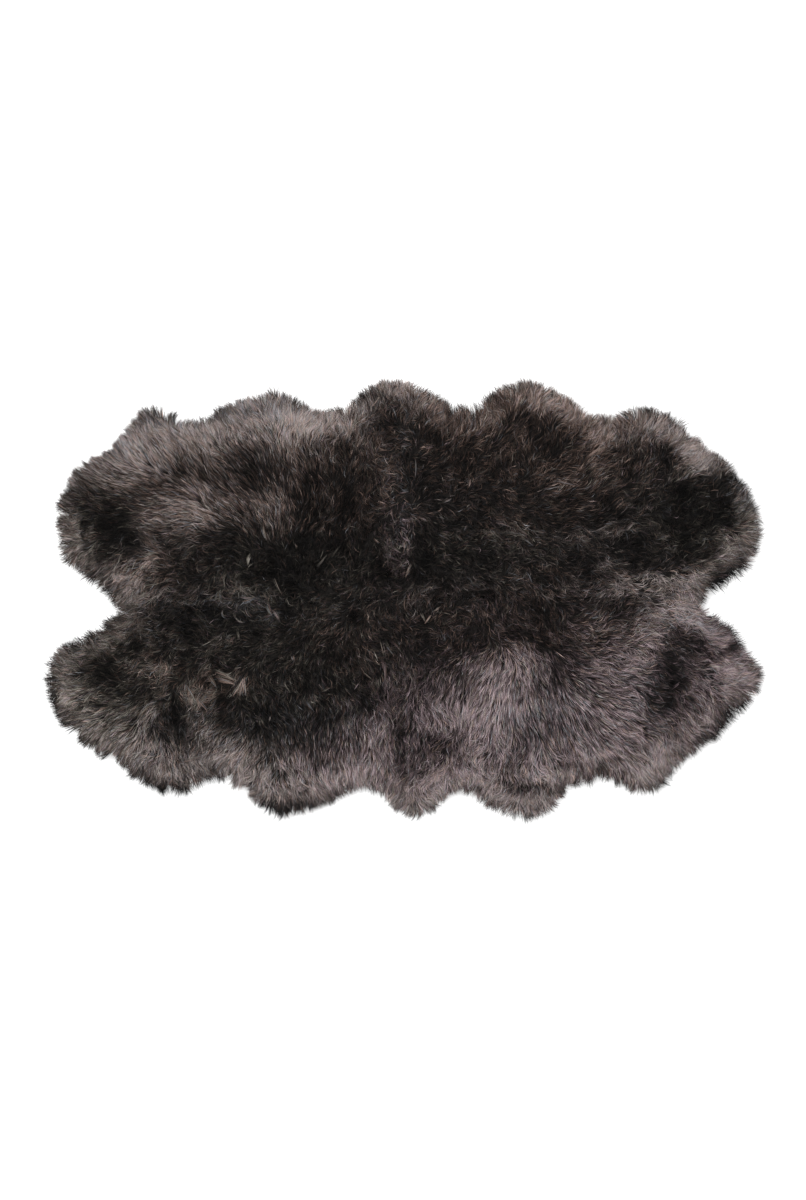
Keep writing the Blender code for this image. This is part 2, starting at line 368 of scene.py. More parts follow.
NAPS.lay(
    "front left",
    ("by the notch", -273, -14, 203),
    ("over the end", -310, -36, 160),
    ("end, high", -338, -56, 155),
    ("end", -348, -88, 184),
    ("end, low", -346, -112, 207),
    ("rump", -323, -132, 220),
    ("rump, low", -293, -152, 230),
    ("hind leg, outer", -263, -172, 237),
    ("hind leg", -238, -192, 260),
    ("hind leg, inner", -213, -182, 287),
    ("flank notch", -193, -178, 270),
    ("croup", -298, -84, 192),
    ("saddle, outer", -263, -52, 190),
    ("saddle", -243, -74, 202),
    ("loin", -303, -104, 216),
    ("loin, low", -283, -124, 227),
    ("arc, left", -258, -124, 240),
    ("arc, right", -238, -130, 288),
    ("fold, left", -221, -140, 275),
    ("fold, right", -203, -92, 262),
    ("fold, low", -195, -110, 228),
    ("tuft", -178, -78, 188),
    ("flank, outer", -193, -142, 228),
    ("flank", -163, -146, 244),
    ("fore leg, outer", -148, -182, 236),
    ("fore leg", -116, -204, 262),
    ("fore leg, inner", -83, -192, 285),
    ("back", -133, -112, 312),
    ("back, low", -113, -142, 284),
    ("withers", -73, -88, 302),
    ("shoulder", -73, -142, 262),
    ("neck notch", -48, -172, 274),
    ("by the flank seam", -33, -112, 264),
    ("belly", -73, -34, 228),
    ("belly, low", -43, -68, 318),
    ("under back", -123, -52, 230),
)
NAPS.lay(
    "front right",
    ("neck", 10, -208, 262),
    ("neck, outer", 42, -194, 300),
    ("neck flank", 27, -162, 262),
    ("withers", 27, -102, 250),
    ("withers, low", 57, -162, 262),
    ("crossing", 37, -8, 45),
    ("under back", 57, -42, 228),
    ("back", 77, -62, 236),
    ("saddle, inner", 60, -98, 247),
    ("saddle", 97, -82, 262),
    ("saddle, low", 97, -142, 268),
    ("over the whorl", 107, -30, 322),
    ("over the whorl, right", 147, -28, 300),
    ("whorl", 132, -62, 275),
    ("whorl, right", 152, -52, 335),
    ("loin", 137, -92, 277),
    ("loin, low", 139, -132, 282),
    ("loin, outer", 177, -102, 302),
    ("flank", 177, -142, 297),
    ("flank, outer", 212, -132, 316),
    ("flank, low", 217, -162, 318),
    ("fold", 157, -164, 285),
    ("fore leg, inner", 97, -202, 240),
    ("fore leg", 132, -212, 275),
    ("fore leg, outer", 157, -200, 302),
    ("belly", 177, -62, 345),
    ("belly, outer", 217, -54, 352),
    ("belly, low", 207, -84, 333),
    ("stifle", 247, -62, 350),
    ("stifle, low", 237, -104, 333),
    ("by the notch", 277, -12, 350),
    ("over the end", 312, -28, 332),
    ("groin", 197, -14, 15),
    ("groin, outer", 237, -24, 4),
    ("hollow", 287, -44, 342),
    ("croup", 297, -72, 352),
    ("end, high", 342, -48, 352),
    ("end", 352, -82, 355),
    ("tail", 334, -98, 338),
    ("rump", 317, -132, 324),
    ("rump, inner", 287, -126, 331),
    ("rump, low", 292, -150, 318),
    ("hind leg, outer", 262, -164, 314),
    ("hind leg", 240, -192, 300),
    ("hind leg, inner", 217, -184, 288),
    ("flank notch", 187, -176, 280),
)

# Painted sheen and painted shade of the nap, place by place; the tone is added to the wool's colour.
SHEEN_AND_SHADE_PATCHES = Table(SheenAndShadePatch)
SHEEN_AND_SHADE_PATCHES.lay(
    "back left",
    ("rump", -262, 146, 50, 21, 0.44, 27),
    ("flank, outer", -205, 142, 42, 14, 0.20),
    ("flank", -170, 166, 44, 20, 0.37, 8),
    ("fore leg", -116, 172, 34, 24, 0.52),
    ("fore leg rim", -140, 200, 26, 10, 0.16),
    ("neck edge", -70, 174, 32, 14, 0.34),
    ("neck rim", -12, 214, 26, 9, 0.26),
    ("neck, low", -22, 150, 26, 18, 0.14),
    ("shoulder", -90, 142, 44, 12, 0.12),
    ("saddle", -212, 88, 42, 22, 0.42),
    ("saddle, high", -208, 114, 24, 12, 0.20),
    ("saddle, outer", -250, 74, 16, 22, 0.18),
    ("saddle streak", -205, 82, 13, 12, 0.18),
    ("loin", -165, 94, 24, 18, 0.13),
    ("back streak", -128, 96, 18, 26, 0.32),
    ("croup", -272, 116, 36, 14, 0.24, 20),
    ("by the notch", -262, 22, 32, 22, 0.32, -20),
    ("groin", -246, 46, 16, 14, 0.18),
    ("end streak", -313, 56, 8, 18, 0.16),
    ("end, dark", -327, 106, 20, 16, -0.22),
    ("hollow, dark", -290, 70, 22, 18, -0.08),
    ("curls", -168, 0, 32, 12, 0.14),
    ("belly, black", -95, 38, 75, 30, -0.08),
    ("end groove", -320, 64, 3, 14, -0.2),
    ("rump, inner", -246, 142, 16, 16, 0.20),
    ("rump, outer", -298, 140, 18, 10, -0.14, 35),
    ("leg rims, dark", -212, 183, 40, 6, -0.18),
    ("loin, high", -170, 122, 13, 10, 0.13),
    ("shoulder, high", -112, 138, 14, 30, 0.13),
    ("fore leg tips, dark", -110, 200, 14, 10, -0.18),
    ("belly, inner", -35, 78, 34, 9, 0.09),
    ("neck, inner", -42, 162, 18, 14, 0.10),
    ("notch rim, dark", -300, 26, 28, 14, -0.16, -38),
    ("rump foot, dark", -331, 120, 6, 6, 0.14),
    ("hollow edge", -270, 42, 10, 10, -0.12),
    ("middle, high", -130, 80, 12, 8, 0.10),
    ("neck, high", -34, 198, 12, 8, 0.10),
    ("loin, low", -190, 0, 10, 8, 0.10),
    ("neck, dark", -30, 186, 12, 14, -0.08),
    ("flank notch, dark", -208, 182, 32, 8, -0.13),
    ("fore leg, outer", -142, 180, 18, 8, 0.12),
    ("saddle, middle", -216, 114, 22, 9, 0.09),
    ("saddle, low", -212, 72, 16, 9, 0.07),
    ("middle, right", -112, 76, 12, 12, 0.06),
)
SHEEN_AND_SHADE_PATCHES.lay(
    "middle",
    ("neck seam", -8, 85, 18, 78, 0.14),
    ("neck seam, low", -6, 40, 10, 16, 0.09, 20),
    ("flank seam light", 0, -135, 28, 48, 0.16),
    ("crossing", 20, 4, 18, 14, 0.07),
    ("flank seam, dark", -3, -142, 5, 50, -0.22),
)
SHEEN_AND_SHADE_PATCHES.lay(
    "back right",
    ("neck flank rim", 40, 196, 22, 8, 0.10, -20),
    ("fore leg", 156, 194, 46, 13, 0.24, -10),
    ("saddle", 96, 150, 28, 20, 0.10),
    ("flank streak", 199, 152, 22, 14, 0.18),
    ("hind leg", 262, 172, 24, 12, 0.28, -20),
    ("hock", 240, 160, 16, 12, 0.26),
    ("croup", 292, 142, 22, 13, 0.38, -35),
    ("loin", 182, 124, 56, 15, 0.14, 5),
    ("loin streak", 167, 112, 26, 5, 0.10, 8),
    ("stifle", 222, 72, 30, 8, 0.13, 10),
    ("under back", 122, 64, 22, 10, 0.15, -20),
    ("end, low", 326, 58, 14, 14, 0.24),
    ("notch, dark", 326, 20, 22, 10, -0.42, 40),
    ("end, dark rim", 324, 104, 12, 26, -0.12),
    ("seam light", 248, 14, 58, 14, 0.4, 8),
    ("seam curls", 140, 22, 30, 14, 0.08),
    ("belly tuft", 204, 30, 15, 7, 0.12),
    ("end, black", 298, 84, 42, 34, -0.08),
    ("flank, dark", 162, 152, 22, 20, -0.05),
    ("seam crease", 217, 2, 46, 3, -0.06, -2),
    ("neck tips, dark", 92, 198, 12, 10, -0.18),
    ("leg rims, dark", 258, 186, 26, 6, -0.15, -20),
    ("croup edge, dark", 326, 122, 12, 14, -0.14),
    ("stifle, low", 230, 62, 11, 7, 0.09),
    ("end edge", 292, 26, 16, 10, 0.12, 20),
    ("end, low edge, dark", 310, 22, 12, 8, -0.13, 30),
    ("croup, low", 310, 120, 12, 9, -0.13),
    ("notch edge, dark", 312, 18, 24, 9, -0.15, 30),
    ("seam, middle", 230, 20, 12, 7, 0.12),
)
SHEEN_AND_SHADE_PATCHES.lay(
    "front left",
    ("end, low", -300, -112, 58, 20, 0.34, -38),
    ("saddle", -246, -72, 26, 14, 0.19),
    ("saddle edge", -272, -68, 20, 10, 0.12, -20),
    ("fold", -210, -102, 11, 24, 0.28),
    ("arc", -256, -122, 12, 16, 0.3, -20),
    ("fold, inner", -196, -122, 10, 22, 0.22, -10),
    ("curl", -176, -79, 15, 6, 0.34, -8),
    ("tuft", -159, -92, 4, 6, 0.50),
    ("flank", -172, -150, 30, 17, 0.38, -10),
    ("hind leg", -236, -158, 34, 20, 0.32, -15),
    ("fore leg", -118, -182, 48, 18, 0.47),
    ("under back", -108, -160, 44, 14, 0.13),
    ("shoulder", -40, -142, 34, 36, 0.33),
    ("neck", -46, -176, 20, 14, 0.16),
    ("fold, dark", -226, -126, 5, 30, -0.06, 8),
    ("fold, inner, dark", -187, -96, 4, 20, -0.08),
    ("croup, dark", -302, -72, 20, 18, -0.12),
    ("tips, dark", -238, -194, 28, 8, -0.3),
    ("fore leg tips, dark", -116, -211, 42, 8, -0.34, 4),
    ("end tips, dark", -353, -86, 8, 40, -0.24),
    ("rump tips, dark", -334, -136, 24, 9, -0.22, -52),
    ("hind leg rim, dark", -272, -176, 42, 9, -0.18, -31),
    ("notch rim, dark", -302, -30, 34, 9, -0.20, 30),
    ("croup, low", -312, -120, 12, 10, 0.10),
    ("hind leg, inner", -208, -152, 11, 13, -0.12),
    ("back, dark", -120, -40, 56, 10, -0.06),
    ("under back, inner", -72, -160, 12, 9, 0.10),
    ("hind leg, low", -270, -120, 10, 10, -0.11),
    ("hind leg, rim", -272, -158, 18, 8, -0.10, -31),
    ("curls", -190, -100, 10, 8, 0.09),
    ("flank tips, dark", -190, -180, 12, 8, -0.10),
    ("neck, low", -50, -122, 10, 9, -0.10),
    ("neck edge", -30, -122, 8, 9, 0.08),
    ("fore leg, high", -128, -168, 14, 12, 0.09),
    ("notch edge, dark", -330, -42, 12, 9, -0.22, 25),
    ("tuft, dark", -190, -80, 12, 8, -0.11),
    ("back, high, dark", -122, -78, 22, 9, -0.08),
    ("flank, high", -182, -140, 18, 8, 0.08),
    ("under back, light", -92, -142, 40, 8, 0.08),
    ("fore leg, outer, dark", -150, -194, 9, 14, -0.13),
)
SHEEN_AND_SHADE_PATCHES.lay(
    "front right",
    ("over the whorl", 90, -48, 60, 12, 0.06),
    ("under back", 20, -86, 34, 20, 0.12),
    ("withers", 42, -118, 32, 20, 0.38),
    ("saddle, top", 62, -70, 20, 14, 0.20),
    ("saddle", 92, -106, 34, 42, 0.48),
    ("shoulder", 78, -146, 22, 26, 0.30),
    ("whorl", 118, -66, 28, 16, 0.42),
    ("back", 172, -118, 78, 40, 0.40),
    ("loin, outer", 222, -118, 26, 34, 0.24),
    ("belly", 206, -64, 36, 22, 0.36),
    ("groin", 194, -30, 34, 13, 0.18),
    ("stifle", 242, -38, 22, 22, 0.42),
    ("notch seam", 262, -4, 30, 12, 0.24),
    ("by the notch", 282, -18, 32, 14, 0.36, -10),
    ("over the end", 312, -38, 16, 12, 0.24, -35),
    ("end", 328, -74, 22, 16, 0.40),
    ("croup", 296, -80, 26, 20, 0.32),
    ("rump", 282, -128, 46, 17, 0.28, 40),
    ("rump rim, dark", 322, -128, 32, 9, -0.3, 42),
    ("hind leg", 240, -155, 24, 20, 0.34),
    ("flank", 200, -158, 40, 14, 0.18),
    ("fore leg", 112, -170, 70, 28, 0.30),
    ("foot", 134, -176, 20, 14, 0.48),
    ("fore leg rim", 124, -206, 36, 10, 0.20),
    ("neck", 40, -184, 34, 20, 0.30),
    ("saddle, dark", 152, -72, 9, 16, -0.12),
    ("hollow, dark", 275, -84, 12, 30, -0.1),
    ("end fold, dark", 330, -50, 9, 6, -0.24, 30),
    ("tail, dark", 336, -114, 12, 5, -0.40, 20),
    ("foot, dark", 108, -170, 9, 20, -0.18),
    ("leg crease", 142, -192, 28, 4, -0.16),
    ("flank crease", 207, -166, 36, 3, -0.08, 8),
    ("neck notch, dark", 67, -190, 12, 5, -0.30),
    ("stifle, low", 240, -76, 13, 24, 0.17),
    ("notch rim, dark", 328, -26, 16, 8, -0.22, -40),
    ("hind leg rim, dark", 276, -178, 18, 8, -0.20, 40),
    ("back, dark", 140, -128, 20, 14, -0.10),
    ("flank, dark", 184, -176, 22, 8, -0.10),
    ("neck, low", 94, -190, 14, 13, 0.11),
    ("neck notch rim", 54, -206, 12, 7, -0.20),
    ("fore leg tips", 104, -222, 24, 6, -0.18),
    ("neck tips", 8, -224, 12, 6, -0.18),
    ("crossing light", 50, -62, 26, 10, 0.09),
    ("saddle, high", 72, -80, 8, 8, 0.08),
    ("withers, edge", 10, -100, 9, 9, 0.11),
    ("back, high", 130, -84, 16, 8, 0.09),
    ("loin edge", 250, -44, 10, 8, 0.10),
    ("stifle, inner", 248, -80, 8, 12, 0.09),
    ("back, inner, dark", 108, -126, 9, 14, -0.12),
    ("leg root, dark", 230, -140, 10, 8, -0.13),
    ("shoulder, dark", 50, -138, 9, 8, -0.11),
    ("hind leg, rim", 262, -168, 16, 8, 0.12, 40),
    ("seam, high", 210, 0, 10, 8, 0.10),
    ("seam, low", 200, -20, 18, 9, 0.10),
    ("notch edge, dark", 302, -22, 20, 8, -0.13, -30),
    ("belly, dark", 230, -60, 10, 9, -0.11),
    ("saddle edge", 10, -100, 10, 9, 0.08),
    ("back, light", 178, -100, 28, 8, 0.08),
    ("rump edge, dark", 314, -118, 16, 8, -0.14, 40),
    ("end, core, dark", 277, -76, 11, 13, -0.13),
    ("end, core, low, dark", 262, -104, 10, 13, -0.10, 20),
    ("shoulder, low", 70, -142, 10, 9, 0.12),
    ("hind leg, inner", 240, -178, 18, 9, 0.14),
    ("foot, inner, dark", 152, -182, 14, 8, -0.11),
    ("neck, edge, dark", 50, -200, 9, 8, -0.15),
    ("fore leg, inner", 92, -200, 12, 9, 0.13),
    ("neck, left", -10, -198, 9, 10, 0.11),
)

TANGLES = Table(Tangle)
TANGLES.lay(
    "back left",
    ("seam curls", -150, 10, 70, 34, 0.3),
    ("rump", -285, 132, 50, 45, -0.5),
    ("saddle", -165, 116, 100, 56, -0.5),
    ("middle", -70, 40, 50, 40, -0.05),
)
TANGLES.lay(
    "middle",
    ("neck seam", -6, 95, 14, 95, 0.5),
)
TANGLES.lay(
    "back right",
    ("shoulder", 92, 118, 50, 34, 0.3),
    ("middle", 110, 40, 90, 26, 0.3),
    ("end", 278, 78, 50, 30, 0.5),
    ("loin", 180, 100, 44, 34, -0.25),
    ("saddle", 100, 162, 50, 24, -0.25),
)
TANGLES.lay(
    "front left",
    ("saddle", -232, -45, 44, 22, 0.2),
    ("rump", -290, -132, 52, 36, -0.45),
    ("flank", -180, -150, 40, 20, -0.25),
    ("shoulder", -70, -146, 66, 38, -0.5),
)
TANGLES.lay(
    "front right",
    ("crossing", 34, -28, 40, 34, 0.3),
    ("saddle", 70, -92, 44, 40, -0.45),
    ("back", 166, -108, 92, 52, -0.56),
    ("hind leg", 226, -166, 40, 22, -0.3),
)

CASTS = Table(Cast)
CASTS.lay(
    "back left",
    ("shoulder", Dye.BROWN, -60, 104, 60, 60, 0.40),
    ("saddle", Dye.BROWN, -190, 108, 110, 50, 0.26),
    ("loin seam", Dye.BROWN, -240, 30, 40, 22, 0.28),
    ("belly", Dye.OLIVE, -112, 30, 100, 38, 0.65),
    ("end", Dye.OLIVE, -302, 72, 44, 42, 0.45),
    ("rump rim", Dye.SLATE, -285, 152, 24, 12, 0.34),
    ("hind leg rim", Dye.SLATE, -235, 182, 34, 10, 0.35),
    ("fore leg rim", Dye.SLATE, -150, 194, 52, 14, 0.26),
)
CASTS.lay(
    "middle",
    ("over the whorl", Dye.BROWN, 110, -28, 110, 26, 0.60),
    ("neck seam, low", Dye.MAUVE, -6, 60, 16, 44, 0.55),
    ("crossing", Dye.SLATE, -165, -12, 64, 14, 0.45),
    ("neck seam", Dye.SLATE, -2, 112, 10, 64, 0.30),
)
CASTS.lay(
    "back right",
    ("saddle", Dye.BROWN, 110, 160, 120, 60, 0.70),
    ("loin", Dye.BROWN, 196, 124, 60, 28, 0.35),
    ("middle", Dye.BROWN, 135, 84, 60, 20, 0.30),
    ("seam", Dye.BROWN, 148, 24, 36, 11, 0.40),
    ("belly", Dye.OLIVE, 62, 48, 76, 26, 0.50),
    ("end", Dye.OLIVE, 292, 80, 60, 40, 0.65),
    ("end rim", Dye.SLATE, 336, 112, 16, 26, 0.40),
)
CASTS.lay(
    "front left",
    ("belly", Dye.BROWN, -48, -45, 50, 36, 0.45),
    ("saddle curls", Dye.BROWN, -250, -72, 34, 20, 0.50),
    ("curls", Dye.BROWN, -188, -90, 34, 22, 0.85),
    ("shoulder", Dye.MAUVE, -66, -166, 50, 36, 0.35),
    ("back", Dye.OLIVE, -160, -66, 130, 58, 0.60),
    ("end", Dye.OLIVE, -302, -90, 60, 60, 0.50),
    ("back, low", Dye.SLATE, -115, -124, 72, 22, 0.35),
)
CASTS.lay(
    "front right",
    ("all over", Dye.MAUVE, 146, -104, 150, 78, 0.80),
    ("end", Dye.MAUVE, 310, -58, 60, 50, 0.50),
    ("neck", Dye.MAUVE, 14, -142, 52, 60, 0.50),
    ("stifle", Dye.SLATE, 246, -98, 20, 26, 0.35),
    ("loin", Dye.SLATE, 146, -118, 48, 28, 0.35),
    ("over the end", Dye.SLATE, 296, -24, 26, 12, 0.30),
)

# Painted highlights and painted shadows where wool lies over wool.
PAINTED_FOLDS = Table(PaintedFold)
PAINTED_FOLDS.lay(
    "back left",
    ("over front left", -235, -6, -3, 48, 11, 0.10, 0.08),
    ("end", -322, 64, 88, 20, 5, 0.12, 0.22),
)
PAINTED_FOLDS.lay(
    "middle",
    ("neck seam", 7, 44, 92, 28, 9, 0.06, 0.06),
)
PAINTED_FOLDS.lay(
    "back right",
    ("over front right", 192, 2, 2, 44, 11, 0.10, 0.10),
    ("croup", 283, 121, 16, 24, 10, 0.12, 0.10),
    ("stifle", 222, 64, 8, 34, 8, 0.08, 0.06),
)
PAINTED_FOLDS.lay(
    "front left",
    ("shoulder", -33, -98, 270, 22, 7, 0.12, 0.08),
    ("fold, inner", -189, -92, 97, 24, 8, 0.14, 0.16),
    ("fold", -230, -120, 98, 34, 9, 0.16, 0.05),
)
PAINTED_FOLDS.lay(
    "front right",
    ("flank", 187, -163, 8, 34, 4.5, 0.12, 0.45),
    ("leg", 140, -187, 0, 26, 6, 0.08, 0.16),
    ("end", 321, -51, 37, 16, 5, 0.1, 0.36),
)

REACHES = Table(Reach)
REACHES.lay(
    "back left",
    ("end", -343, 48, 10, 12, 0.004),
    ("rump", -296, 146, 28, 20, -0.013),
    ("hind leg", -236, 188, 15, 9, 0.04),
    ("flank notch", -211, 178, 9, 8, 0.019),
    ("fore leg, inner", -92, 194, 18, 10, 0.021),
    ("notch", -306, 8, 18, 12, 0.025),
    ("end, high", -342, 104, 10, 16, -0.008),
    ("fore leg, outer", -156, 200, 18, 8, -0.010),
    ("neck", -20, 216, 22, 8, -0.007),
)
REACHES.lay(
    "back right",
    ("neck notch", 66, 197, 16, 12, 0.027),
    ("notch", 334, 20, 9, 9, 0.02),
    ("hind leg", 236, 191, 10, 8, 0.011),
    ("croup", 303, 149, 14, 10, -0.012),
    ("notch, inner", 312, 7, 7, 7, 0.02),
    ("notch root", 300, -6, 6, 6, -0.012),
    ("end", 354, 54, 8, 15, -0.003),
    ("fore leg", 146, 208, 16, 8, 0.005),
    ("neck", 14, 211, 18, 8, 0.007),
    ("end, high", 354, 88, 9, 16, 0.007),
)
REACHES.lay(
    "front left",
    ("notch", -330, -40, 20, 12, 0.026),
    ("hind leg", -240, -196, 14, 10, 0.004),
    ("flank notch", -160, -192, 13, 12, -0.023),
    ("fore leg", -138, -215, 10, 9, 0.042),
    ("fore leg, inner", -86, -206, 20, 10, -0.01),
    ("rump, outer", -337, -134, 12, 12, 0.010),
    ("fore leg, middle", -113, -216, 8, 8, -0.014),
    ("end", -357, -90, 7, 12, -0.013),
    ("rump", -286, -165, 16, 8, -0.009),
)
REACHES.lay(
    "front right",
    ("fore leg", 104, -216, 12, 10, 0.017),
    ("foot", 167, -191, 12, 12, -0.036),
    ("hind leg", 226, -192, 22, 10, 0.022),
    ("tail", 342, -106, 8, 8, 0.025),
    ("end", 354, -78, 12, 22, 0.0035),
    ("notch", 326, -27, 16, 14, 0.033),
    ("rump", 292, -152, 20, 14, -0.005),
    ("neck", 33, -208, 9, 8, 0.009),
    ("end, low", 340, -108, 20, 20, 0.008),
    ("neck, inner", -12, -206, 10, 8, -0.007),
    ("neck notch", 56, -196, 10, 8, 0.009),
    ("hind leg, outer", 268, -178, 12, 8, -0.006),
)

WISPS = Table(Wisp)
WISPS.lay(
    "back left",
    ("curl", -152, 43, 250, 9, 45, 9, 0.62),
    ("thread", -128, 19, 293, 17, 8, 3, 0.46),
    ("loin", -140, 72, 283, 14, 20, 5, 0.46),
    ("loin, outer", -160, 72, 305, 10, 20, 5, 0.44),
    ("belly", -85, 33, 46, 15, 10, 3, 0.30),
    ("belly, inner", -72, 40, 55, 16, -10, 2, 0.27),
    ("belly speck", -107, 54, 280, 4, 0, 4, 0.36),
    ("seam, first", -166, 12, 325, 15, -20, 6, 0.42),
    ("seam, second", -162, 2, 350, 14, 40, 7, 0.46),
    ("seam, third", -158, -4, 20, 12, 40, 6, 0.44),
)
WISPS.lay(
    "middle",
    ("crossing ring", -178, -11, 262, 12, 150, 4, 0.46),
    ("crossing arc", -168, -15, 300, 15, 95, 4, 0.42),
    ("crossing arc, inner", -156, -8, 280, 12, 60, 3, 0.40),
    ("crossing tuft", -137, -7, 297, 12, 5, 9, 0.42),
    ("crossing tuft, inner", -129, -12, 300, 13, 8, 5, 0.44),
    ("neck seam, first", 2, 63, 300, 11, -30, 5, 0.40),
    ("neck seam, second", 5, 53, 268, 11, -20, 5, 0.42),
    ("neck seam, third", 8, 34, 240, 11, 10, 5, 0.44),
    ("neck seam, fourth", 6, 28, 235, 9, 10, 4, 0.42),
    ("neck seam, fifth", -12, 52, 320, 14, 20, 4, 0.38),
    ("neck seam, sixth", -18, 45, 330, 15, 15, 4, 0.38),
    ("neck seam blot", -1, 106, 5, 6, 20, 6, 0.40),
)
WISPS.lay(
    "back right",
    ("neck", 12, 139, 272, 18, -12, 4, 0.36),
    ("shoulder", 38, 96, 15, 10, 20, 4, 0.50),
    ("back", 40, 42, 12, 9, -10, 3, 0.44),
    ("ring", 65, 71, 200, 9, 210, 3, 0.46),
    ("hook", 78, 69, 318, 9, 20, 4, 0.42),
    ("hook, low", 52, 63, 312, 9, 20, 4, 0.42),
    ("band, first", 93, 76, 342, 18, -10, 3, 0.34),
    ("band, second", 104, 66, 350, 18, 5, 4, 0.38),
    ("band, third", 114, 70, 328, 16, -5, 4, 0.36),
    ("band, fourth", 118, 60, 325, 14, -5, 4, 0.36),
    ("band, fifth", 128, 68, 345, 13, 10, 3, 0.36),
    ("loin, first", 140, 108, 12, 18, -10, 4, 0.34),
    ("loin, second", 150, 118, 345, 20, 0, 4, 0.42),
    ("flank, first", 183, 141, 38, 19, 0, 5, 0.52),
    ("flank, second", 189, 143, 34, 17, 5, 5, 0.52),
    ("stifle", 190, 67, 25, 16, 10, 5, 0.42),
    ("stifle, outer", 222, 67, 50, 12, 0, 4, 0.44),
    ("cross", 157, 11, 300, 8, 0, 2, 0.44),
)
WISPS.lay(
    "front left",
    ("speck", -110, -57, 285, 5, 0, 5, 0.52),
    ("back", -164, -33, 276, 7, 0, 4, 0.40),
    ("blade", -194, -76, 308, 14, 0, 6, 0.42),
    ("curl, high", -186, -73, 340, 20, -22, 13, 0.52),
    ("curl, low", -184, -80, 346, 19, -22, 10, 0.54),
    ("tuft", -169, -96, 58, 18, 0, 7, 0.54),
    ("tuft, tail", -157, -96, 96, 16, 0, 6, 0.62),
    ("tuft, middle", -163, -97, 76, 17, 0, 7, 0.66),
    ("arc", -262, -121, 60, 26, -95, 7, 0.5),
    ("arc, middle", -257, -124, 62, 22, -95, 6, 0.48),
    ("arc, inner", -250, -126, 70, 18, -90, 5, 0.46),
    ("fold, low", -222, -163, 10, 26, 35, 5, 0.42),
    ("fold, lower", -214, -160, 5, 22, 30, 4, 0.40),
    ("fold, right", -214, -88, 300, 22, -10, 7, 0.5),
    ("fold, right, low", -206, -100, 318, 16, -20, 6, 0.5),
    ("feather, first", -23, -42, 284, 17, -5, 4, 0.40),
    ("feather, second", -18, -43, 302, 15, 0, 4, 0.42),
    ("feather, third", -13, -42, 320, 13, -8, 4, 0.42),
    ("feather, fourth", -17, -64, 268, 18, 5, 4, 0.40),
    ("feather, fifth", -21, -58, 278, 16, 0, 3, 0.36),
    ("neck, first", -42, -56, 325, 14, 0, 3, 0.34),
    ("neck, second", -40, -73, 320, 13, 0, 3, 0.38),
    ("neck, third", -82, -93, 20, 11, 25, 4, 0.40),
    ("shoulder, first", -97, -103, 310, 12, -8, 4, 0.38),
    ("shoulder, second", -150, -96, 305, 12, -8, 4, 0.38),
)
WISPS.lay(
    "front right",
    ("zigzag, first", 18, -16, 297, 9, 0, 4, 0.52),
    ("zigzag, second", 22, -24, 55, 10, -10, 4, 0.52),
    ("curl", 24, 1, 285, 9, 20, 4, 0.44),
    ("hook", 30, -13, 35, 9, 20, 4, 0.46),
    ("speck", 244, -91, 330, 3, 0, 9, 0.60),
    ("hollow", 268, -90, 40, 10, 20, 4, 0.44),
)

STRAY_CASTS = {Dye.BROWN: 0.15, Dye.MAUVE: 0.06, Dye.OLIVE: 0.12, Dye.SLATE: 0.10}


def eased(share: Array) -> Array:
    """A share from 0 to 1, eased at both ends."""
    return share * share * (3 - 2 * share)


def faded(distance: Array, reach: float) -> Array:
    """1 at no distance, falling evenly to 0 at the reach."""
    return np.clip(1.0 - distance / reach, 0.0, 1.0)


@dataclass
class SoftNoise:
    """Smooth seeded noise over the plan, from about -1 to 1. Its size is its lattice's pitch, in metres."""

    size: float
    seed: int
    lattice: int = 128
    offset: float = 1000.0
    gain: float = 1.35

    def __post_init__(self) -> None:
        """Draws the lattice of values."""
        self.values = np.random.default_rng(self.seed).uniform(-1.0, 1.0, (self.lattice, self.lattice))

    def __call__(self, x: Array, y: Array) -> Array:
        """Reads the noise.

        Args:
            x: Places along X, in metres.
            y: Places along Y.

        Returns:
            The noise at each place.
        """
        u, v = x / self.size + self.offset, y / self.size + self.offset
        i, j = np.floor(u).astype(int), np.floor(v).astype(int)
        s, t = eased(u - i), eased(v - j)
        i, next_i, j, next_j = (index % self.lattice for index in (i, i + 1, j, j + 1))
        low = self.values[i, j] * (1 - s) + self.values[next_i, j] * s
        high = self.values[i, next_j] * (1 - s) + self.values[next_i, next_j] * s
        return self.gain * (low * (1 - t) + high * t)


def bell(row: Any, x: Array, y: Array, turn: float = 0.0) -> Array:
    """How strongly a table's soft-edged place counts at each point.

    Args:
        row: A row with x, y, reach_x and reach_y, in steps.
        x: Points along X, in metres.
        y: Points along Y, in metres.
        turn: The place's turn about +Z, in degrees.

    Returns:
        1 in the middle of the place, falling to 0 around it.
    """
    c, s = math.cos(math.radians(turn)), math.sin(math.radians(turn))
    dx, dy = x / STEP - row.x, y / STEP - row.y
    across, along = (dx * c + dy * s) / row.reach_x, (dy * c - dx * s) / row.reach_y
    return np.exp(-(across**2 + along**2) ** BELL_POWER)


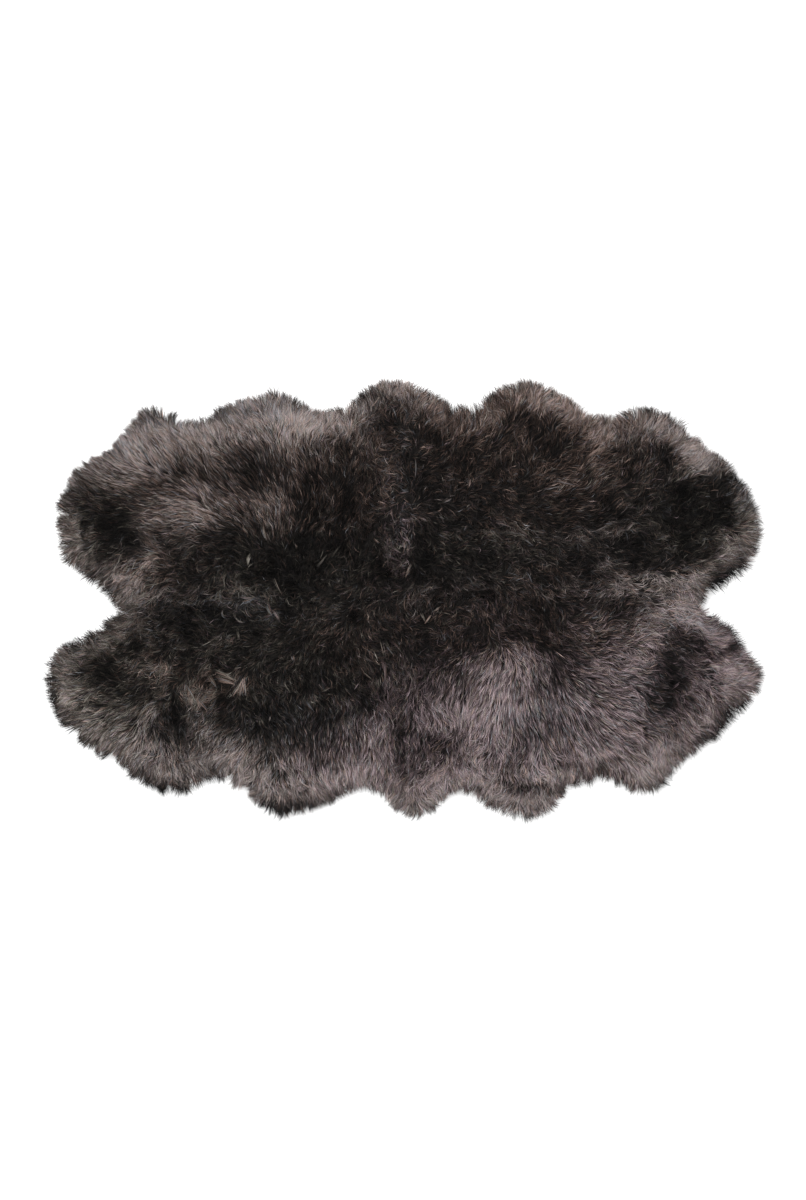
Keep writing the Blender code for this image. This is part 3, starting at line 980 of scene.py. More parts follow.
@dataclass
class Plan:
    """The rug seen from above, measured from the CAD nodes: outline, height and which pelt is where.

    All of it is kept on one grid over the floor, and read between the grid's points. The deepest inset told
    apart is in grid points, and all other lengths are in metres.
    """

    nodes: dict[str, bpy.types.Object]
    pitch: float = 0.004
    half_x: float = 0.96
    half_y: float = 0.62
    drop_height: float = 1.0
    closings: int = 2
    closing_neighbours: int = 5
    deepest: int = 40
    soften: float = 0.010
    outward_soften: float = 0.012
    blur_cut: float = 2.5
    height: Array = field(init=False)
    pelt: Array = field(init=False)
    inset: Array = field(init=False)

    def __post_init__(self) -> None:
        """Measures the nodes."""
        self.names = sorted(self.nodes)
        self.xs = np.arange(-self.half_x, self.half_x, self.pitch)
        self.ys = np.arange(-self.half_y, self.half_y, self.pitch)
        self.height, self.pelt = self._cast_down()
        inside = self.pelt >= 0
        self.inset = self._blur(self._depth(inside) - self._depth(~inside), self.soften)
        self.out_x, self.out_y = self._outward()

    def _cast_down(self) -> tuple[Array, Array]:
        """Drops a ray on every grid point.

        Returns:
            The height of the wool, and the index of the pelt, or -1 off the rug.
        """
        height = np.zeros((len(self.xs), len(self.ys)))
        pelt = np.full(height.shape, -1)
        down = Vector((0.0, 0.0, -1.0))
        for index, name in enumerate(self.names):
            mesh = self.nodes[name].data
            tree = BVHTree.FromPolygons(
                [vertex.co for vertex in mesh.vertices], [tuple(face.vertices) for face in mesh.polygons]
            )
            low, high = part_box(name)
            for i in np.flatnonzero((self.xs >= low.x) & (self.xs <= high.x)):
                for j in np.flatnonzero((self.ys >= low.y) & (self.ys <= high.y)):
                    hit = tree.ray_cast(Vector((self.xs[i], self.ys[j], self.drop_height)), down)[0]
                    if hit is not None:
                        height[i, j], pelt[i, j] = hit.z, index
        for _ in range(self.closings):
            self._close(height, pelt)
        return height, pelt

    def _close(self, height: Array, pelt: Array) -> None:
        """Gives the grid points that fall in the narrow gap of a seam their neighbours' values.

        Args:
            height: The heights, changed in place.
            pelt: The indices of the pelts, changed in place.
        """
        steps = [(di, dj) for di in (-1, 0, 1) for dj in (-1, 0, 1) if di or dj]
        beside = [np.roll(pelt, step, (0, 1)) for step in steps]
        gap = (pelt < 0) & (sum(index >= 0 for index in beside) >= self.closing_neighbours)
        for step, index in zip(steps, beside):
            taken = gap & (index >= 0)
            height[taken], pelt[taken] = np.roll(height, step, (0, 1))[taken], index[taken]

    def _depth(self, mask: Array) -> Array:
        """The distance from each grid point of a mask to the nearest one outside it.

        Args:
            mask: The points whose depth is wanted.

        Returns:
            The depth in metres, 0 outside the mask.
        """
        reach = self.deepest
        squared = np.where(mask, float(reach * reach), 0.0)
        for axis in (0, 1):
            best = squared.copy()
            for shift in range(1, reach + 1):
                for way in (-shift, shift):
                    moved = np.roll(squared, way, axis)
                    best = np.minimum(best, moved + shift * shift)
            squared = best
        return np.sqrt(squared) * self.pitch

    def _blur(self, values: Array, radius: float) -> Array:
        """Softens a field of the grid.

        Args:
            values: The field.
            radius: The radius of the softening, in metres.

        Returns:
            The soft field.
        """
        count = math.ceil(radius / self.pitch * self.blur_cut)
        weights = np.exp(-0.5 * (np.arange(-count, count + 1) * self.pitch / radius) ** 2)
        weights /= weights.sum()
        for axis in (0, 1):
            values = sum(
                weight * np.roll(values, shift - count, axis) for shift, weight in enumerate(weights)
            )
        return values

    def _outward(self) -> tuple[Array, Array]:
        """The way out of the rug, from the inset's slope.

        Returns:
            The X and Y parts of a unit vector field.
        """
        soft = self._blur(self.inset, self.outward_soften)
        slope_x, slope_y = np.gradient(soft, self.pitch)
        size = np.maximum(np.hypot(slope_x, slope_y), TINY)
        return -slope_x / size, -slope_y / size

    def read(self, values: Array, x: Array, y: Array) -> Array:
        """Reads a field between the grid's points.

        Args:
            values: The field.
            x: Places along X, in metres.
            y: Places along Y.

        Returns:
            The field at each place.
        """
        u = np.clip((x + self.half_x) / self.pitch, 0, len(self.xs) - LAST_CELL)
        v = np.clip((y + self.half_y) / self.pitch, 0, len(self.ys) - LAST_CELL)
        i, j = u.astype(int), v.astype(int)
        s, t = u - i, v - j
        low = values[i, j] * (1 - s) + values[i + 1, j] * s
        high = values[i, j + 1] * (1 - s) + values[i + 1, j + 1] * s
        return low * (1 - t) + high * t

    def pelt_at(self, x: Array, y: Array) -> Array:
        """The index of the pelt at each place, or -1 off the rug.

        Args:
            x: Places along X, in metres.
            y: Places along Y.

        Returns:
            The indices.
        """
        i = np.clip(np.rint((x + self.half_x) / self.pitch).astype(int), 0, len(self.xs) - 1)
        j = np.clip(np.rint((y + self.half_y) / self.pitch).astype(int), 0, len(self.ys) - 1)
        return self.pelt[i, j]


@dataclass
class Coat:
    """How the wool lies and curls all over the rug, and the painted sheen and shade in its tone, from the
    tables and the plan.

    Bands and reaches are in metres from the rim, and tones run from 0, black, to 1, the lightest wool.
    """

    plan: Plan
    base_tangle: float = 0.5
    nap_softness: float = 80.0
    nap_band: float = 0.050
    nap_overhang: float = 0.01
    nap_power: float = 1.5
    nap_outward: float = 1.2
    calm_band: float = 0.06
    calm_share: float = 0.35
    swirls: tuple[Swirl, ...] = (
        Swirl(0.050, Slope(9.0, 40.0), 500),
        Swirl(0.022, Slope(8.0, 45.0), 220),
        Swirl(0.011, Slope(5.0, 35.0), 110),
    )
    # The rim's tone is partly the paler tips of the wool lying out and partly painted sheen.
    rim_tone_and_sheen: float = 0.43
    inner_tone: float = 0.12
    least_tone: float = 0.02
    rim_start: float = 0.022
    rim_reach: float = 0.088
    clouds: tuple[Cloud, ...] = (Cloud(0.050, 0.05, 1), Cloud(0.022, 0.04, 2))
    dyed_share: float = 0.9
    seed: int = SEED

    def __post_init__(self) -> None:
        """Works the fields out on the plan's grid."""
        x, y = np.meshgrid(self.plan.xs, self.plan.ys, indexing="ij")
        tangle = self.base_tangle + sum(row.amount * bell(row, x, y) for row in TANGLES)
        self.tangle = np.clip(tangle, 0.0, 1.0)
        self.way_x, self.way_y = self._ways(x, y)
        self.tone = self._tones(x, y)

    def _ways(self, x: Array, y: Array) -> tuple[Array, Array]:
        """Blends the nap between the table's places, and turns it outwards at the rim.

        Args:
            x: The grid's places along X.
            y: The grid's places along Y.

        Returns:
            The X and Y parts of the nap.
        """
        way_x, way_y, total = np.zeros_like(x), np.zeros_like(x), np.zeros_like(x)
        for row in NAPS:
            apart = (x / STEP - row.x) ** 2 + (y / STEP - row.y) ** 2
            weight = 1.0 / (apart + self.nap_softness) ** 2
            way_x += weight * math.cos(math.radians(row.heading))
            way_y += weight * math.sin(math.radians(row.heading))
            total += weight
        way_x, way_y = way_x / total, way_y / total
        rim = faded(self.plan.inset + self.nap_overhang, self.nap_band) ** self.nap_power * self.nap_outward
        heading = np.arctan2(way_y + rim * self.plan.out_y, way_x + rim * self.plan.out_x)
        calm = 1.0 - self.calm_share * faded(self.plan.inset, self.calm_band)
        for swirl in self.swirls:
            noise = SoftNoise(swirl.size, self.seed + swirl.seed_step)
            heading += np.radians(swirl.turn.at(self.tangle)) * calm * noise(x, y)
        return np.cos(heading), np.sin(heading)

    def _tones(self, x: Array, y: Array) -> Array:
        """Lays the painted sheen and shade of the patches and folds over the rim's and the middle's tone.

        Args:
            x: The grid's places along X.
            y: The grid's places along Y.

        Returns:
            The tone.
        """
        # Towards the rim the tone rises: paler lying tips, and painted sheen.
        rim = eased(faded(self.plan.inset - self.rim_start, self.rim_reach - self.rim_start))
        tone = self.inner_tone + (self.rim_tone_and_sheen - self.inner_tone) * rim
        # Painted sheen and painted shade, patch by patch.
        for row in SHEEN_AND_SHADE_PATCHES:
            tone = tone + row.tone * bell(row, x, y, row.turn)
        # Painted highlights and painted shadows beside the folds.
        for fold in PAINTED_FOLDS:
            tone = tone + fold.tone(x, y)
        for cloud in self.clouds:
            tone = tone + cloud.tone * SoftNoise(cloud.size, self.seed + cloud.seed_step)(x, y)
        return np.clip(tone, self.least_tone, 1.0)

    def dyes(self, x: Array, y: Array, draw: Array) -> Array:
        """Picks each lock's cast.

        Args:
            x: Places along X, in metres.
            y: Places along Y.
            draw: A random number from 0 to 1 for each place.

        Returns:
            The band of each lock's dye.
        """
        shares = {
            dye: stray + sum(row.share * bell(row, x, y) for row in CASTS if row.dye is dye)
            for dye, stray in STRAY_CASTS.items()
        }
        crowding = np.maximum(sum(shares.values()), self.dyed_share) / self.dyed_share
        picked, passed = np.full(len(x), Dye.TAUPE.value), np.zeros(len(x))
        for dye, share in shares.items():
            share = share / np.maximum(crowding, 1.0)
            picked[(draw >= passed) & (draw < passed + share)] = dye.value
            passed = passed + share
        return picked


@dataclass
class Grain:
    """The fine streaks of the coat: seeded noise drawn out along the nap."""

    coat: Coat
    pitch: float = 0.0016
    coarse: float = 0.0032
    strides: int = 3
    fine_share: float = 0.91
    coarse_share: float = 0.41
    contrast: float = 0.92
    skew: float = 0.22
    seed: int = SEED + 40

    def __post_init__(self) -> None:
        """Draws a fine and a coarse grain and adds them up."""
        plan = self.coat.plan
        self.xs = np.arange(-plan.half_x, plan.half_x, self.pitch)
        self.ys = np.arange(-plan.half_y, plan.half_y, self.pitch)
        x, y = np.meshgrid(self.xs, self.ys, indexing="ij")
        rng = np.random.default_rng(self.seed)
        fine = self._draw_out(rng.uniform(-1.0, 1.0, x.shape), x, y, self.pitch)
        step = self.coarse / self.pitch
        i, j = (np.arange(count) / step for count in x.shape)
        lattice = rng.uniform(-1.0, 1.0, (len(i) + 2, len(j) + 2))
        spread = lattice[np.rint(i).astype(int)[:, None], np.rint(j).astype(int)[None, :]]
        broad = self._draw_out(spread, x, y, self.coarse)
        drawn = self.fine_share * fine + self.coarse_share * broad
        self.values = self.contrast * (drawn + self.skew * (drawn**2 - 1.0))

    def _draw_out(self, noise: Array, x: Array, y: Array, stride: float) -> Array:
        """Averages noise along the nap.

        Args:
            noise: The noise on the grain's grid.
            x: The grid's places along X.
            y: The grid's places along Y.
            stride: The length of one step along the nap.

        Returns:
            The streaks, with a spread of 1.
        """
        plan, total = self.coat.plan, noise.copy()
        for way in (1.0, -1.0):
            at_x, at_y = x.copy(), y.copy()
            for _ in range(self.strides):
                step_x = plan.read(self.coat.way_x, at_x, at_y)
                step_y = plan.read(self.coat.way_y, at_x, at_y)
                at_x, at_y = at_x + way * stride * step_x, at_y + way * stride * step_y
                total += noise[self._cell(at_x, at_y)]
        return (total - total.mean()) / total.std()

    def _cell(self, x: Array, y: Array) -> tuple[Array, Array]:
        """Finds the grid cell of each place.

        Args:
            x: Places along X, in metres.
            y: Places along Y.

        Returns:
            The cells' columns and rows.
        """
        i = np.clip(np.rint((x - self.xs[0]) / self.pitch).astype(int), 0, len(self.xs) - 1)
        j = np.clip(np.rint((y - self.ys[0]) / self.pitch).astype(int), 0, len(self.ys) - 1)
        return i, j

    def __call__(self, x: Array, y: Array) -> Array:
        """The grain at each place."""
        return self.values[self._cell(x, y)]


@dataclass
class JitteredGrid:
    """Points spread evenly but irregularly over the plan, with a quick search for the nearest one."""

    plan: Plan
    pitch: float
    rng: Chance
    jitter: float = 0.48

    def __post_init__(self) -> None:
        """Spreads the points."""
        columns = np.arange(-self.plan.half_x, self.plan.half_x, self.pitch)
        rows = np.arange(-self.plan.half_y, self.plan.half_y, self.pitch)
        self.columns, self.rows = len(columns), len(rows)
        x, y = np.meshgrid(columns, rows, indexing="ij")
        self.x = (x + self.rng.uniform(-self.jitter, self.jitter, x.shape) * self.pitch).ravel()
        self.y = (y + self.rng.uniform(-self.jitter, self.jitter, y.shape) * self.pitch).ravel()

    def nearest(self, x: Array, y: Array) -> Array:
        """Finds the nearest of the grid's points.

        Args:
            x: Places along X, in metres.
            y: Places along Y.

        Returns:
            The indices of the nearest points.
        """
        i = np.clip(np.rint((x + self.plan.half_x) / self.pitch).astype(int), 1, self.columns - 2)
        j = np.clip(np.rint((y + self.plan.half_y) / self.pitch).astype(int), 1, self.rows - 2)
        best, found = np.full(len(x), np.inf), np.zeros(len(x), int)
        for di in (-1, 0, 1):
            for dj in (-1, 0, 1):
                point = (i + di) * self.rows + (j + dj)
                apart = (self.x[point] - x) ** 2 + (self.y[point] - y) ** 2
                closer = apart < best
                best, found = np.where(closer, apart, best), np.where(closer, point, found)
        return found


@dataclass
class Tufts:
    """The broad tufts that neighbouring locks lean into."""

    plan: Plan
    pitch: float = 0.034
    lean_spread: float = 7.0
    tone_spread: float = 0.055
    least_gather: float = 0.10
    most_gather: float = 0.42
    seed: int = SEED + 5

    def __post_init__(self) -> None:
        """Sets the tufts out over the rug and draws their characters."""
        rng = np.random.default_rng(self.seed)
        self.grid = JitteredGrid(self.plan, self.pitch, rng)
        count = len(self.grid.x)
        self.turn = rng.normal(0.0, 1.0, count)
        self.lean = np.radians(rng.normal(0.0, self.lean_spread, count))
        self.tone = rng.normal(0.0, self.tone_spread, count)
        self.gather = rng.uniform(self.least_gather, self.most_gather, count)


@dataclass
class Locks:
    """The locks that the blades of wool are gathered in, each with a path for its blades to follow.

    Lengths are in metres, angles in degrees, and a Slope's share is the coat's tangle. The rim is the band in
    which the wool turns out, and the edge is the part of it in which the locks stand in pointed spikes.
    """

    plan: Plan
    coat: Coat
    pitch: float = 0.0055
    stations: int = 9
    rim_band: float = 0.060
    edge_band: float = 0.045
    edge_power: float = 0.7
    under_share: float = 0.60
    under_sink: float = 0.002
    under_least: float = 0.004
    floor_gap: float = 0.002
    length: float = 0.047
    length_span: Pair = (0.82, 1.14)
    least_length: float = 0.014
    longer_at_rim: float = 0.08
    longer_at_edge: float = 0.35
    overhang: float = 0.0180
    spike_pitch: float = 0.0090
    spike_height: float = 1.11
    spike_slope: float = 0.33
    spike_foot: float = 1.3
    spike_uneven: float = 0.20
    lock_uneven: Pair = (0.95, 1.05)
    spike_pull: float = 0.72
    spike_turn: float = 9.0
    spike_tone: float = 0.15
    tuft_tone: Slope = Slope(0.5, 1.0)
    lock_tone: Slope = Slope(0.65, 0.7)
    lock_tone_spread: float = 0.06
    frizz_angle: Slope = Slope(4.0, 28.0)
    frizz_calm: float = 0.65
    tuft_turn: Slope = Slope(3.0, 15.0)
    tuft_turn_calm: float = 0.5
    lock_turn: Slope = Slope(3.0, 25.0)
    lock_turn_calm: float = 0.6
    curl_angle: Slope = Slope(8.0, 60.0)
    curl_pivot: float = 0.3
    pale_tone: float = 0.6
    root_lean: Lean = Lean(18.0, 24.0, 30.0, 7.0)
    tip_lean: Lean = Lean(50.0, 26.0, 20.0, 9.0)
    most_lean: float = 97.0
    lean_power: float = 0.7
    gather_span: Pair = (0.25, 0.85)
    lock_gather: Slope = Slope(0.55, 0.65)
    rim_gather: float = 0.45
    most_gather: float = 0.97
    tuft_pull: Slope = Slope(0.6, 0.8)
    tuft_pull_calm: float = 0.7
    pull_power: float = 1.4
    seed: int = SEED + 10

    def __post_init__(self) -> None:
        """Sets the locks out over the rug and grows their paths."""
        rng = np.random.default_rng(self.seed)
        self.grid = JitteredGrid(self.plan, self.pitch, rng)
        self.spikes = JitteredGrid(self.plan, self.spike_pitch, rng)
        self.tufts = Tufts(self.plan)
        self._place()
        self.tone_off = self._tones(rng)
        self.frizz = np.radians(self.frizz_angle.at(self.tangle)) * (1.0 - self.frizz_calm * self.edge)
        turn, curl = self._turns(rng)
        start, end = self._leans(rng)
        self.length_of = self._lengths(start, end, rng)
        loose = rng.uniform(*self.gather_span, len(self.grid.x)) * self.lock_gather.at(self.tangle)
        self.gather = np.minimum(loose + self.rim_gather * self.rim, self.most_gather)
        self.paths = self._grow(turn, curl, start, end)
        self._pull_together()

    def _place(self) -> None:
        """Reads the plan and the coat at each lock, and finds its tuft and its spike."""
        x, y, read = self.grid.x, self.grid.y, self.plan.read
        self.inset = read(self.plan.inset, x, y)
        self.tone = read(self.coat.tone, x, y)
        self.tangle = read(self.coat.tangle, x, y)
        self.out_x, self.out_y = read(self.plan.out_x, x, y), read(self.plan.out_y, x, y)
        self.rim_x, self.rim_y = x + self.inset * self.out_x, y + self.inset * self.out_y
        self.rim = faded(self.inset, self.rim_band)
        self.edge = faded(self.inset, self.edge_band) ** self.edge_power
        self.tuft = self.tufts.grid.nearest(x, y)
        self.spike = self.spikes.nearest(self.rim_x, self.rim_y)
        from_x, from_y = self.rim_x - self.spikes.x[self.spike], self.rim_y - self.spikes.y[self.spike]
        self.aside = from_x * -self.out_y + from_y * self.out_x

    def _per_spike(self, mean: float, spread: float, rng: Chance) -> Array:
        """Draws one number for each spike, and gives each lock its spike's."""
        return rng.normal(mean, spread, len(self.spikes.x))[self.spike]

    def _tones(self, rng: Chance) -> Array:
        """Draws how much lighter or darker than the coat each lock is.

        Args:
            rng: The source of chance.

        Returns:
            The tones' differences.
        """
        own = rng.normal(0.0, self.lock_tone_spread, len(self.grid.x)) * self.lock_tone.at(self.tangle)
        tone = self.tufts.tone[self.tuft] * self.tuft_tone.at(self.tangle) + own
        return tone + self.edge * self._per_spike(0.0, self.spike_tone, rng)

    def _turns(self, rng: Chance) -> tuple[Array, Array]:
        """Draws how far each lock is turned off the nap, with its tuft, by itself and with its spike.

        Args:
            rng: The source of chance.

        Returns:
            The locks' turns, and how far they turn on along their length, in radians.
        """
        count = len(self.grid.x)
        calm = 1.0 - self.tuft_turn_calm * self.rim
        turn = np.radians(self.tuft_turn.at(self.tangle) * calm) * self.tufts.turn[self.tuft]
        calm = 1.0 - self.lock_turn_calm * self.edge
        turn += np.radians(self.lock_turn.at(self.tangle)) * calm * rng.normal(0.0, 1.0, count)
        turn += np.radians(self.spike_turn) * self.edge * self._per_spike(0.0, 1.0, rng)
        return turn, np.radians(self.curl_angle.at(self.tangle)) * rng.normal(0.0, 1.0, count)

    def _leans(self, rng: Chance) -> tuple[Array, Array]:
        """Draws how far each lock leans over, more where the coat's painted sheen makes it light, and at the
        rim.

        Args:
            rng: The source of chance.

        Returns:
            The leans from upright at the root and at the tip, in radians.
        """
        flat = np.clip(self.tone / self.pale_tone, 0.0, 1.0)
        start = self.root_lean.draw(flat, self.rim, rng) + self.tufts.lean[self.tuft]
        end = self.tip_lean.draw(flat, self.rim, rng) + self.tufts.lean[self.tuft]
        return start, np.minimum(np.maximum(end, start), np.radians(self.most_lean))

    def _lengths(self, start: Array, end: Array, rng: Chance) -> Array:
        """Draws each lock's length, and keeps it to the rim's reach where it would lie out past the rug.

        Args:
            start: The lean at the root, from upright.
            end: The lean at the tip.
            rng: The source of chance.

        Returns:
            The lengths, in metres.
        """
        count = len(self.grid.x)
        grown = 1.0 + self.longer_at_rim * self.rim + self.longer_at_edge * self.edge
        length = self.length * rng.uniform(*self.length_span, count) * grown
        down = np.minimum(np.abs(self.aside) / (0.5 * self.spike_pitch), self.spike_foot)
        pointed = self.spike_height - self.spike_slope * self.edge * down
        uneven = rng.uniform(*self.lock_uneven, count)
        uneven = uneven * self._per_spike(1.0, self.spike_uneven, rng) * pointed
        further = self.overhang + sum(row.further * bell(row, self.rim_x, self.rim_y) for row in REACHES)
        out = (self.inset + further) / np.sin(0.5 * (start + end)) * uneven
        kept = np.minimum(length, np.maximum(out, self.least_length))
        return np.where(self.inset < self.rim_band, kept, length)

    def _pull_together(self) -> None:
        """Pulls the paths' tips together, into the tufts and into the spikes at the edge."""
        share = np.linspace(0.0, 1.0, self.stations) ** self.pull_power
        calm = 1.0 - self.tuft_pull_calm * self.rim
        pull = (self.tufts.gather[self.tuft] * self.tuft_pull.at(self.tangle) * calm)[:, None] * share
        self.paths[..., 0] -= pull * (self.grid.x - self.tufts.grid.x[self.tuft])[:, None]
        self.paths[..., 1] -= pull * (self.grid.y - self.tufts.grid.y[self.tuft])[:, None]
        pull = self.spike_pull * (self.edge * self.aside)[:, None] * share
        self.paths[..., 0] -= pull * -self.out_y[:, None]
        self.paths[..., 1] -= pull * self.out_x[:, None]

    def under(self, x: Array, y: Array) -> Array:
        """The height of the underwool at each place."""
        height = self.plan.read(self.plan.height, x, y) * self.under_share - self.under_sink
        return np.maximum(height, self.under_least)

    def _grow(self, turn: Array, curl: Array, start: Array, end: Array) -> Array:
        """Grows each lock's path along the nap, bending over from its lean at the root.

        Args:
            turn: How far each lock's heading is off the nap, in radians.
            curl: How far the heading turns along the lock.
            start: The lean at the root, from upright.
            end: The lean at the tip.

        Returns:
            The points of the paths: lock, station and X, Y, Z.
        """
        x, y = self.grid.x.copy(), self.grid.y.copy()
        z = self.under(x, y)
        path = np.zeros((len(x), self.stations, 3))
        path[:, 0] = np.stack([x, y, z], 1)
        stride = self.length_of / (self.stations - 1)
        for station in range(1, self.stations):
            share = (station - 0.5) / (self.stations - 1)
            way_x = self.plan.read(self.coat.way_x, x, y)
            way_y = self.plan.read(self.coat.way_y, x, y)
            heading = np.arctan2(way_y, way_x)
            heading = heading + turn + curl * (share - self.curl_pivot)
            lean = start + (end - start) * share**self.lean_power
            x = x + np.cos(heading) * np.sin(lean) * stride
            y = y + np.sin(heading) * np.sin(lean) * stride
            z = np.maximum(z + np.cos(lean) * stride, self.floor_gap)
            path[:, station] = np.stack([x, y, z], 1)
        return path


class Socket:
    """A shader value, with Python's operators for its maths."""

    def __init__(self, shader: "Shader", socket: bpy.types.NodeSocket) -> None:
        """Wraps an output socket of a shader's node."""
        self.shader, self.socket = shader, socket

    def _math(self, operation: str, *values: Any) -> "Socket":
        """The output of a new Math node with these inputs, sockets or numbers."""
        return self.shader.node("ShaderNodeMath", {"operation": operation}, dict(enumerate(values)))

    def __add__(self, other: Any) -> "Socket":
        """The sum."""
        return self._math("ADD", self, other)

    def __sub__(self, other: Any) -> "Socket":
        """The difference."""
        return self._math("SUBTRACT", self, other)

    def __mul__(self, other: Any) -> "Socket":
        """The product."""
        return self._math("MULTIPLY", self, other)

    def floor(self) -> "Socket":
        """The whole number below."""
        return self._math("FLOOR", self)

    def over(self, limit: float) -> "Socket":
        """1 where the value is over a limit, and 0 elsewhere."""
        return self._math("GREATER_THAN", self, limit)

    def clamp(self) -> "Socket":
        """The value kept from 0 to 1."""
        return self.shader.node("ShaderNodeClamp", {}, {"Value": self})


class Shader:
    """A material under construction, with a Principled BSDF."""

    def __init__(self, name: str, **constants: Any) -> None:
        """Starts a material.

        Args:
            name: The material's name.
            constants: Values of the Principled BSDF's sockets, with underscores for spaces.
        """
        self.material = bpy.data.materials.new(name)
        self.material.use_nodes = True
        self.tree = self.material.node_tree
        self.principled = self.tree.nodes["Principled BSDF"]
        for key, value in constants.items():
            self.principled.inputs[key.replace("_", " ")].default_value = value

    def node(self, kind: str, settings: dict[str, Any], values: dict[Any, Any], output: Any = 0) -> Socket:
        """Adds a node.

        Args:
            kind: The node's type.
            settings: Its properties, or its stops for a colour ramp.
            values: Its inputs by name or number, as sockets or plain values.
            output: The name or number of the output that is wanted.

        Returns:
            That output.
        """
        made = self.tree.nodes.new(kind)
        for key, value in settings.items():
            if key == "stops":
                ramp = made.color_ramp.elements
                while len(ramp) < len(value):
                    ramp.new(0.5)
                for element, (place, colour) in zip(ramp, value):
                    element.position, element.color = place, (*colour, 1.0)
            else:
                setattr(made, key, value)
        for key, value in values.items():
            if isinstance(value, Socket):
                self.tree.links.new(value.socket, made.inputs[key])
            else:
                made.inputs[key].default_value = value
        return Socket(self, made.outputs[output])

    def ramp(self, value: Socket, stops: list[tuple[float, Triple]]) -> Socket:
        """A colour ramp of a value."""
        return self.node("ShaderNodeValToRGB", {"stops": stops}, {"Fac": value})

    def mix(self, share: Any, first: Any, second: Any) -> Socket:
        """A mix of two colours, with the second colour's share."""
        colours = {"Factor": share, 6: first, 7: second}
        return self.node("ShaderNodeMix", {"data_type": "RGBA"}, colours, 2)

    def noise(self, scale: float, detail: float) -> Socket:
        """Noise over the object.

        Args:
            scale: How fine the noise is.
            detail: How many finer layers it has.

        Returns:
            The noise's value.
        """
        place = self.node("ShaderNodeTexCoord", {}, {}, "Object")
        settings = {"Vector": place, "Scale": scale, "Detail": detail}
        return self.node("ShaderNodeTexNoise", {}, settings, "Fac")

    def bump(self, height: Socket, strength: float, depth: float) -> None:
        """Raises the surface by a value, this strongly and this deep in metres."""
        values = {"Strength": strength, "Distance": depth, "Height": height}
        self.drive("Normal", self.node("ShaderNodeBump", {}, values, "Normal"))

    def drive(self, socket: str, value: Socket) -> None:
        """Links a value to a socket of the Principled BSDF."""
        self.tree.links.new(value.socket, self.principled.inputs[socket])


@dataclass(frozen=True)
class FleeceFinish:
    """Dyed wool: near black at the root and paler towards the tip, by the blade's tone, which carries the
    coat's painted sheen and shade, and by its cast.
    """

    taupe: Triple = (0.396, 0.330, 0.314)
    brown: Triple = (0.448, 0.310, 0.260)
    mauve: Triple = (0.420, 0.310, 0.334)
    olive: Triple = (0.364, 0.330, 0.280)
    slate: Triple = (0.310, 0.314, 0.340)
    # Each level is a place on the ramp, a depth, and how strongly the cast shows; the lightest levels are
    # greyer, a painted sheen.
    levels: tuple[Triple, ...] = (
        (0.0, 0.0105, 0.20),
        (0.12, 0.047, 0.75),
        (0.25, 0.095, 1.25),
        (0.5, 0.31, 1.05),
        (0.75, 0.62, 0.90),
        (1.0, 1.0, 0.80),
    )
    root_shade: float = 0.15
    root_end: float = 0.05
    tip_start: float = 0.65
    roughness: float = 0.55
    gloss: float = 0.10

    def stops(self, tip: Triple) -> list[tuple[float, Triple]]:
        """The ramp from the darkest wool to a cast's lightest tips.

        Args:
            tip: The colour of the lightest tips.

        Returns:
            The ramp's stops.
        """
        grey = sum(tip) / 3
        return [
            (place, tuple(depth * (grey + cast * (part - grey)) for part in tip))
            for place, depth, cast in self.levels
        ]

    def material(self) -> bpy.types.Material:
        """Makes the material.

        Returns:
            The material, which reads only the fleece's own UV map.
        """
        shader = Shader("dyed_wool", Roughness=self.roughness, Specular_IOR_Level=self.gloss)
        uv = shader.node("ShaderNodeUVMap", {"uv_map": "OFBake"}, {})
        across = shader.node("ShaderNodeSeparateXYZ", {}, {0: uv}, "X")
        along = shader.node("ShaderNodeSeparateXYZ", {}, {0: uv}, "Y")
        band = across * float(len(Dye))
        tone = (band - band.floor() - BAND_MARGIN) * (1.0 / BAND_SPAN)
        rise = shader.node(
            "ShaderNodeMapRange",
            {"interpolation_type": "SMOOTHSTEP"},
            {
                "Value": along,
                "From Min": self.root_end,
                "From Max": self.tip_start,
                "To Min": self.root_shade,
                "To Max": 1.0,
            },
        )
        shade = (tone * rise).clamp()
        tips = {dye: getattr(self, dye.name.lower()) for dye in Dye}
        colour = shader.ramp(shade, self.stops(tips.pop(Dye.TAUPE)))
        for dye, tip in tips.items():
            colour = shader.mix(band.over(dye.value), colour, shader.ramp(shade, self.stops(tip)))
        shader.drive("Base Color", colour)
        return shader.material


@dataclass(frozen=True)
class UnderwoolFinish:
    """The dense dark wool between the locks."""

    dark: Triple = (0.0034, 0.0030, 0.0027)
    light: Triple = (0.0128, 0.0110, 0.0104)
    roughness: float = 0.9
    gloss: float = 0.1
    fuzz_scale: float = 320.0
    fuzz_detail: float = 3.0
    fuzz_span: Pair = (0.35, 0.7)
    bump_strength: float = 0.8
    bump_depth: float = 0.002

    def material(self) -> bpy.types.Material:
        """Makes the material.

        Returns:
            The material.
        """
        shader = Shader("underwool", Roughness=self.roughness, Specular_IOR_Level=self.gloss)
        fuzz = shader.noise(self.fuzz_scale, self.fuzz_detail)
        stops = list(zip(self.fuzz_span, (self.dark, self.light)))
        shader.drive("Base Color", shader.ramp(fuzz, stops))
        shader.bump(fuzz, self.bump_strength, self.bump_depth)
        return shader.material


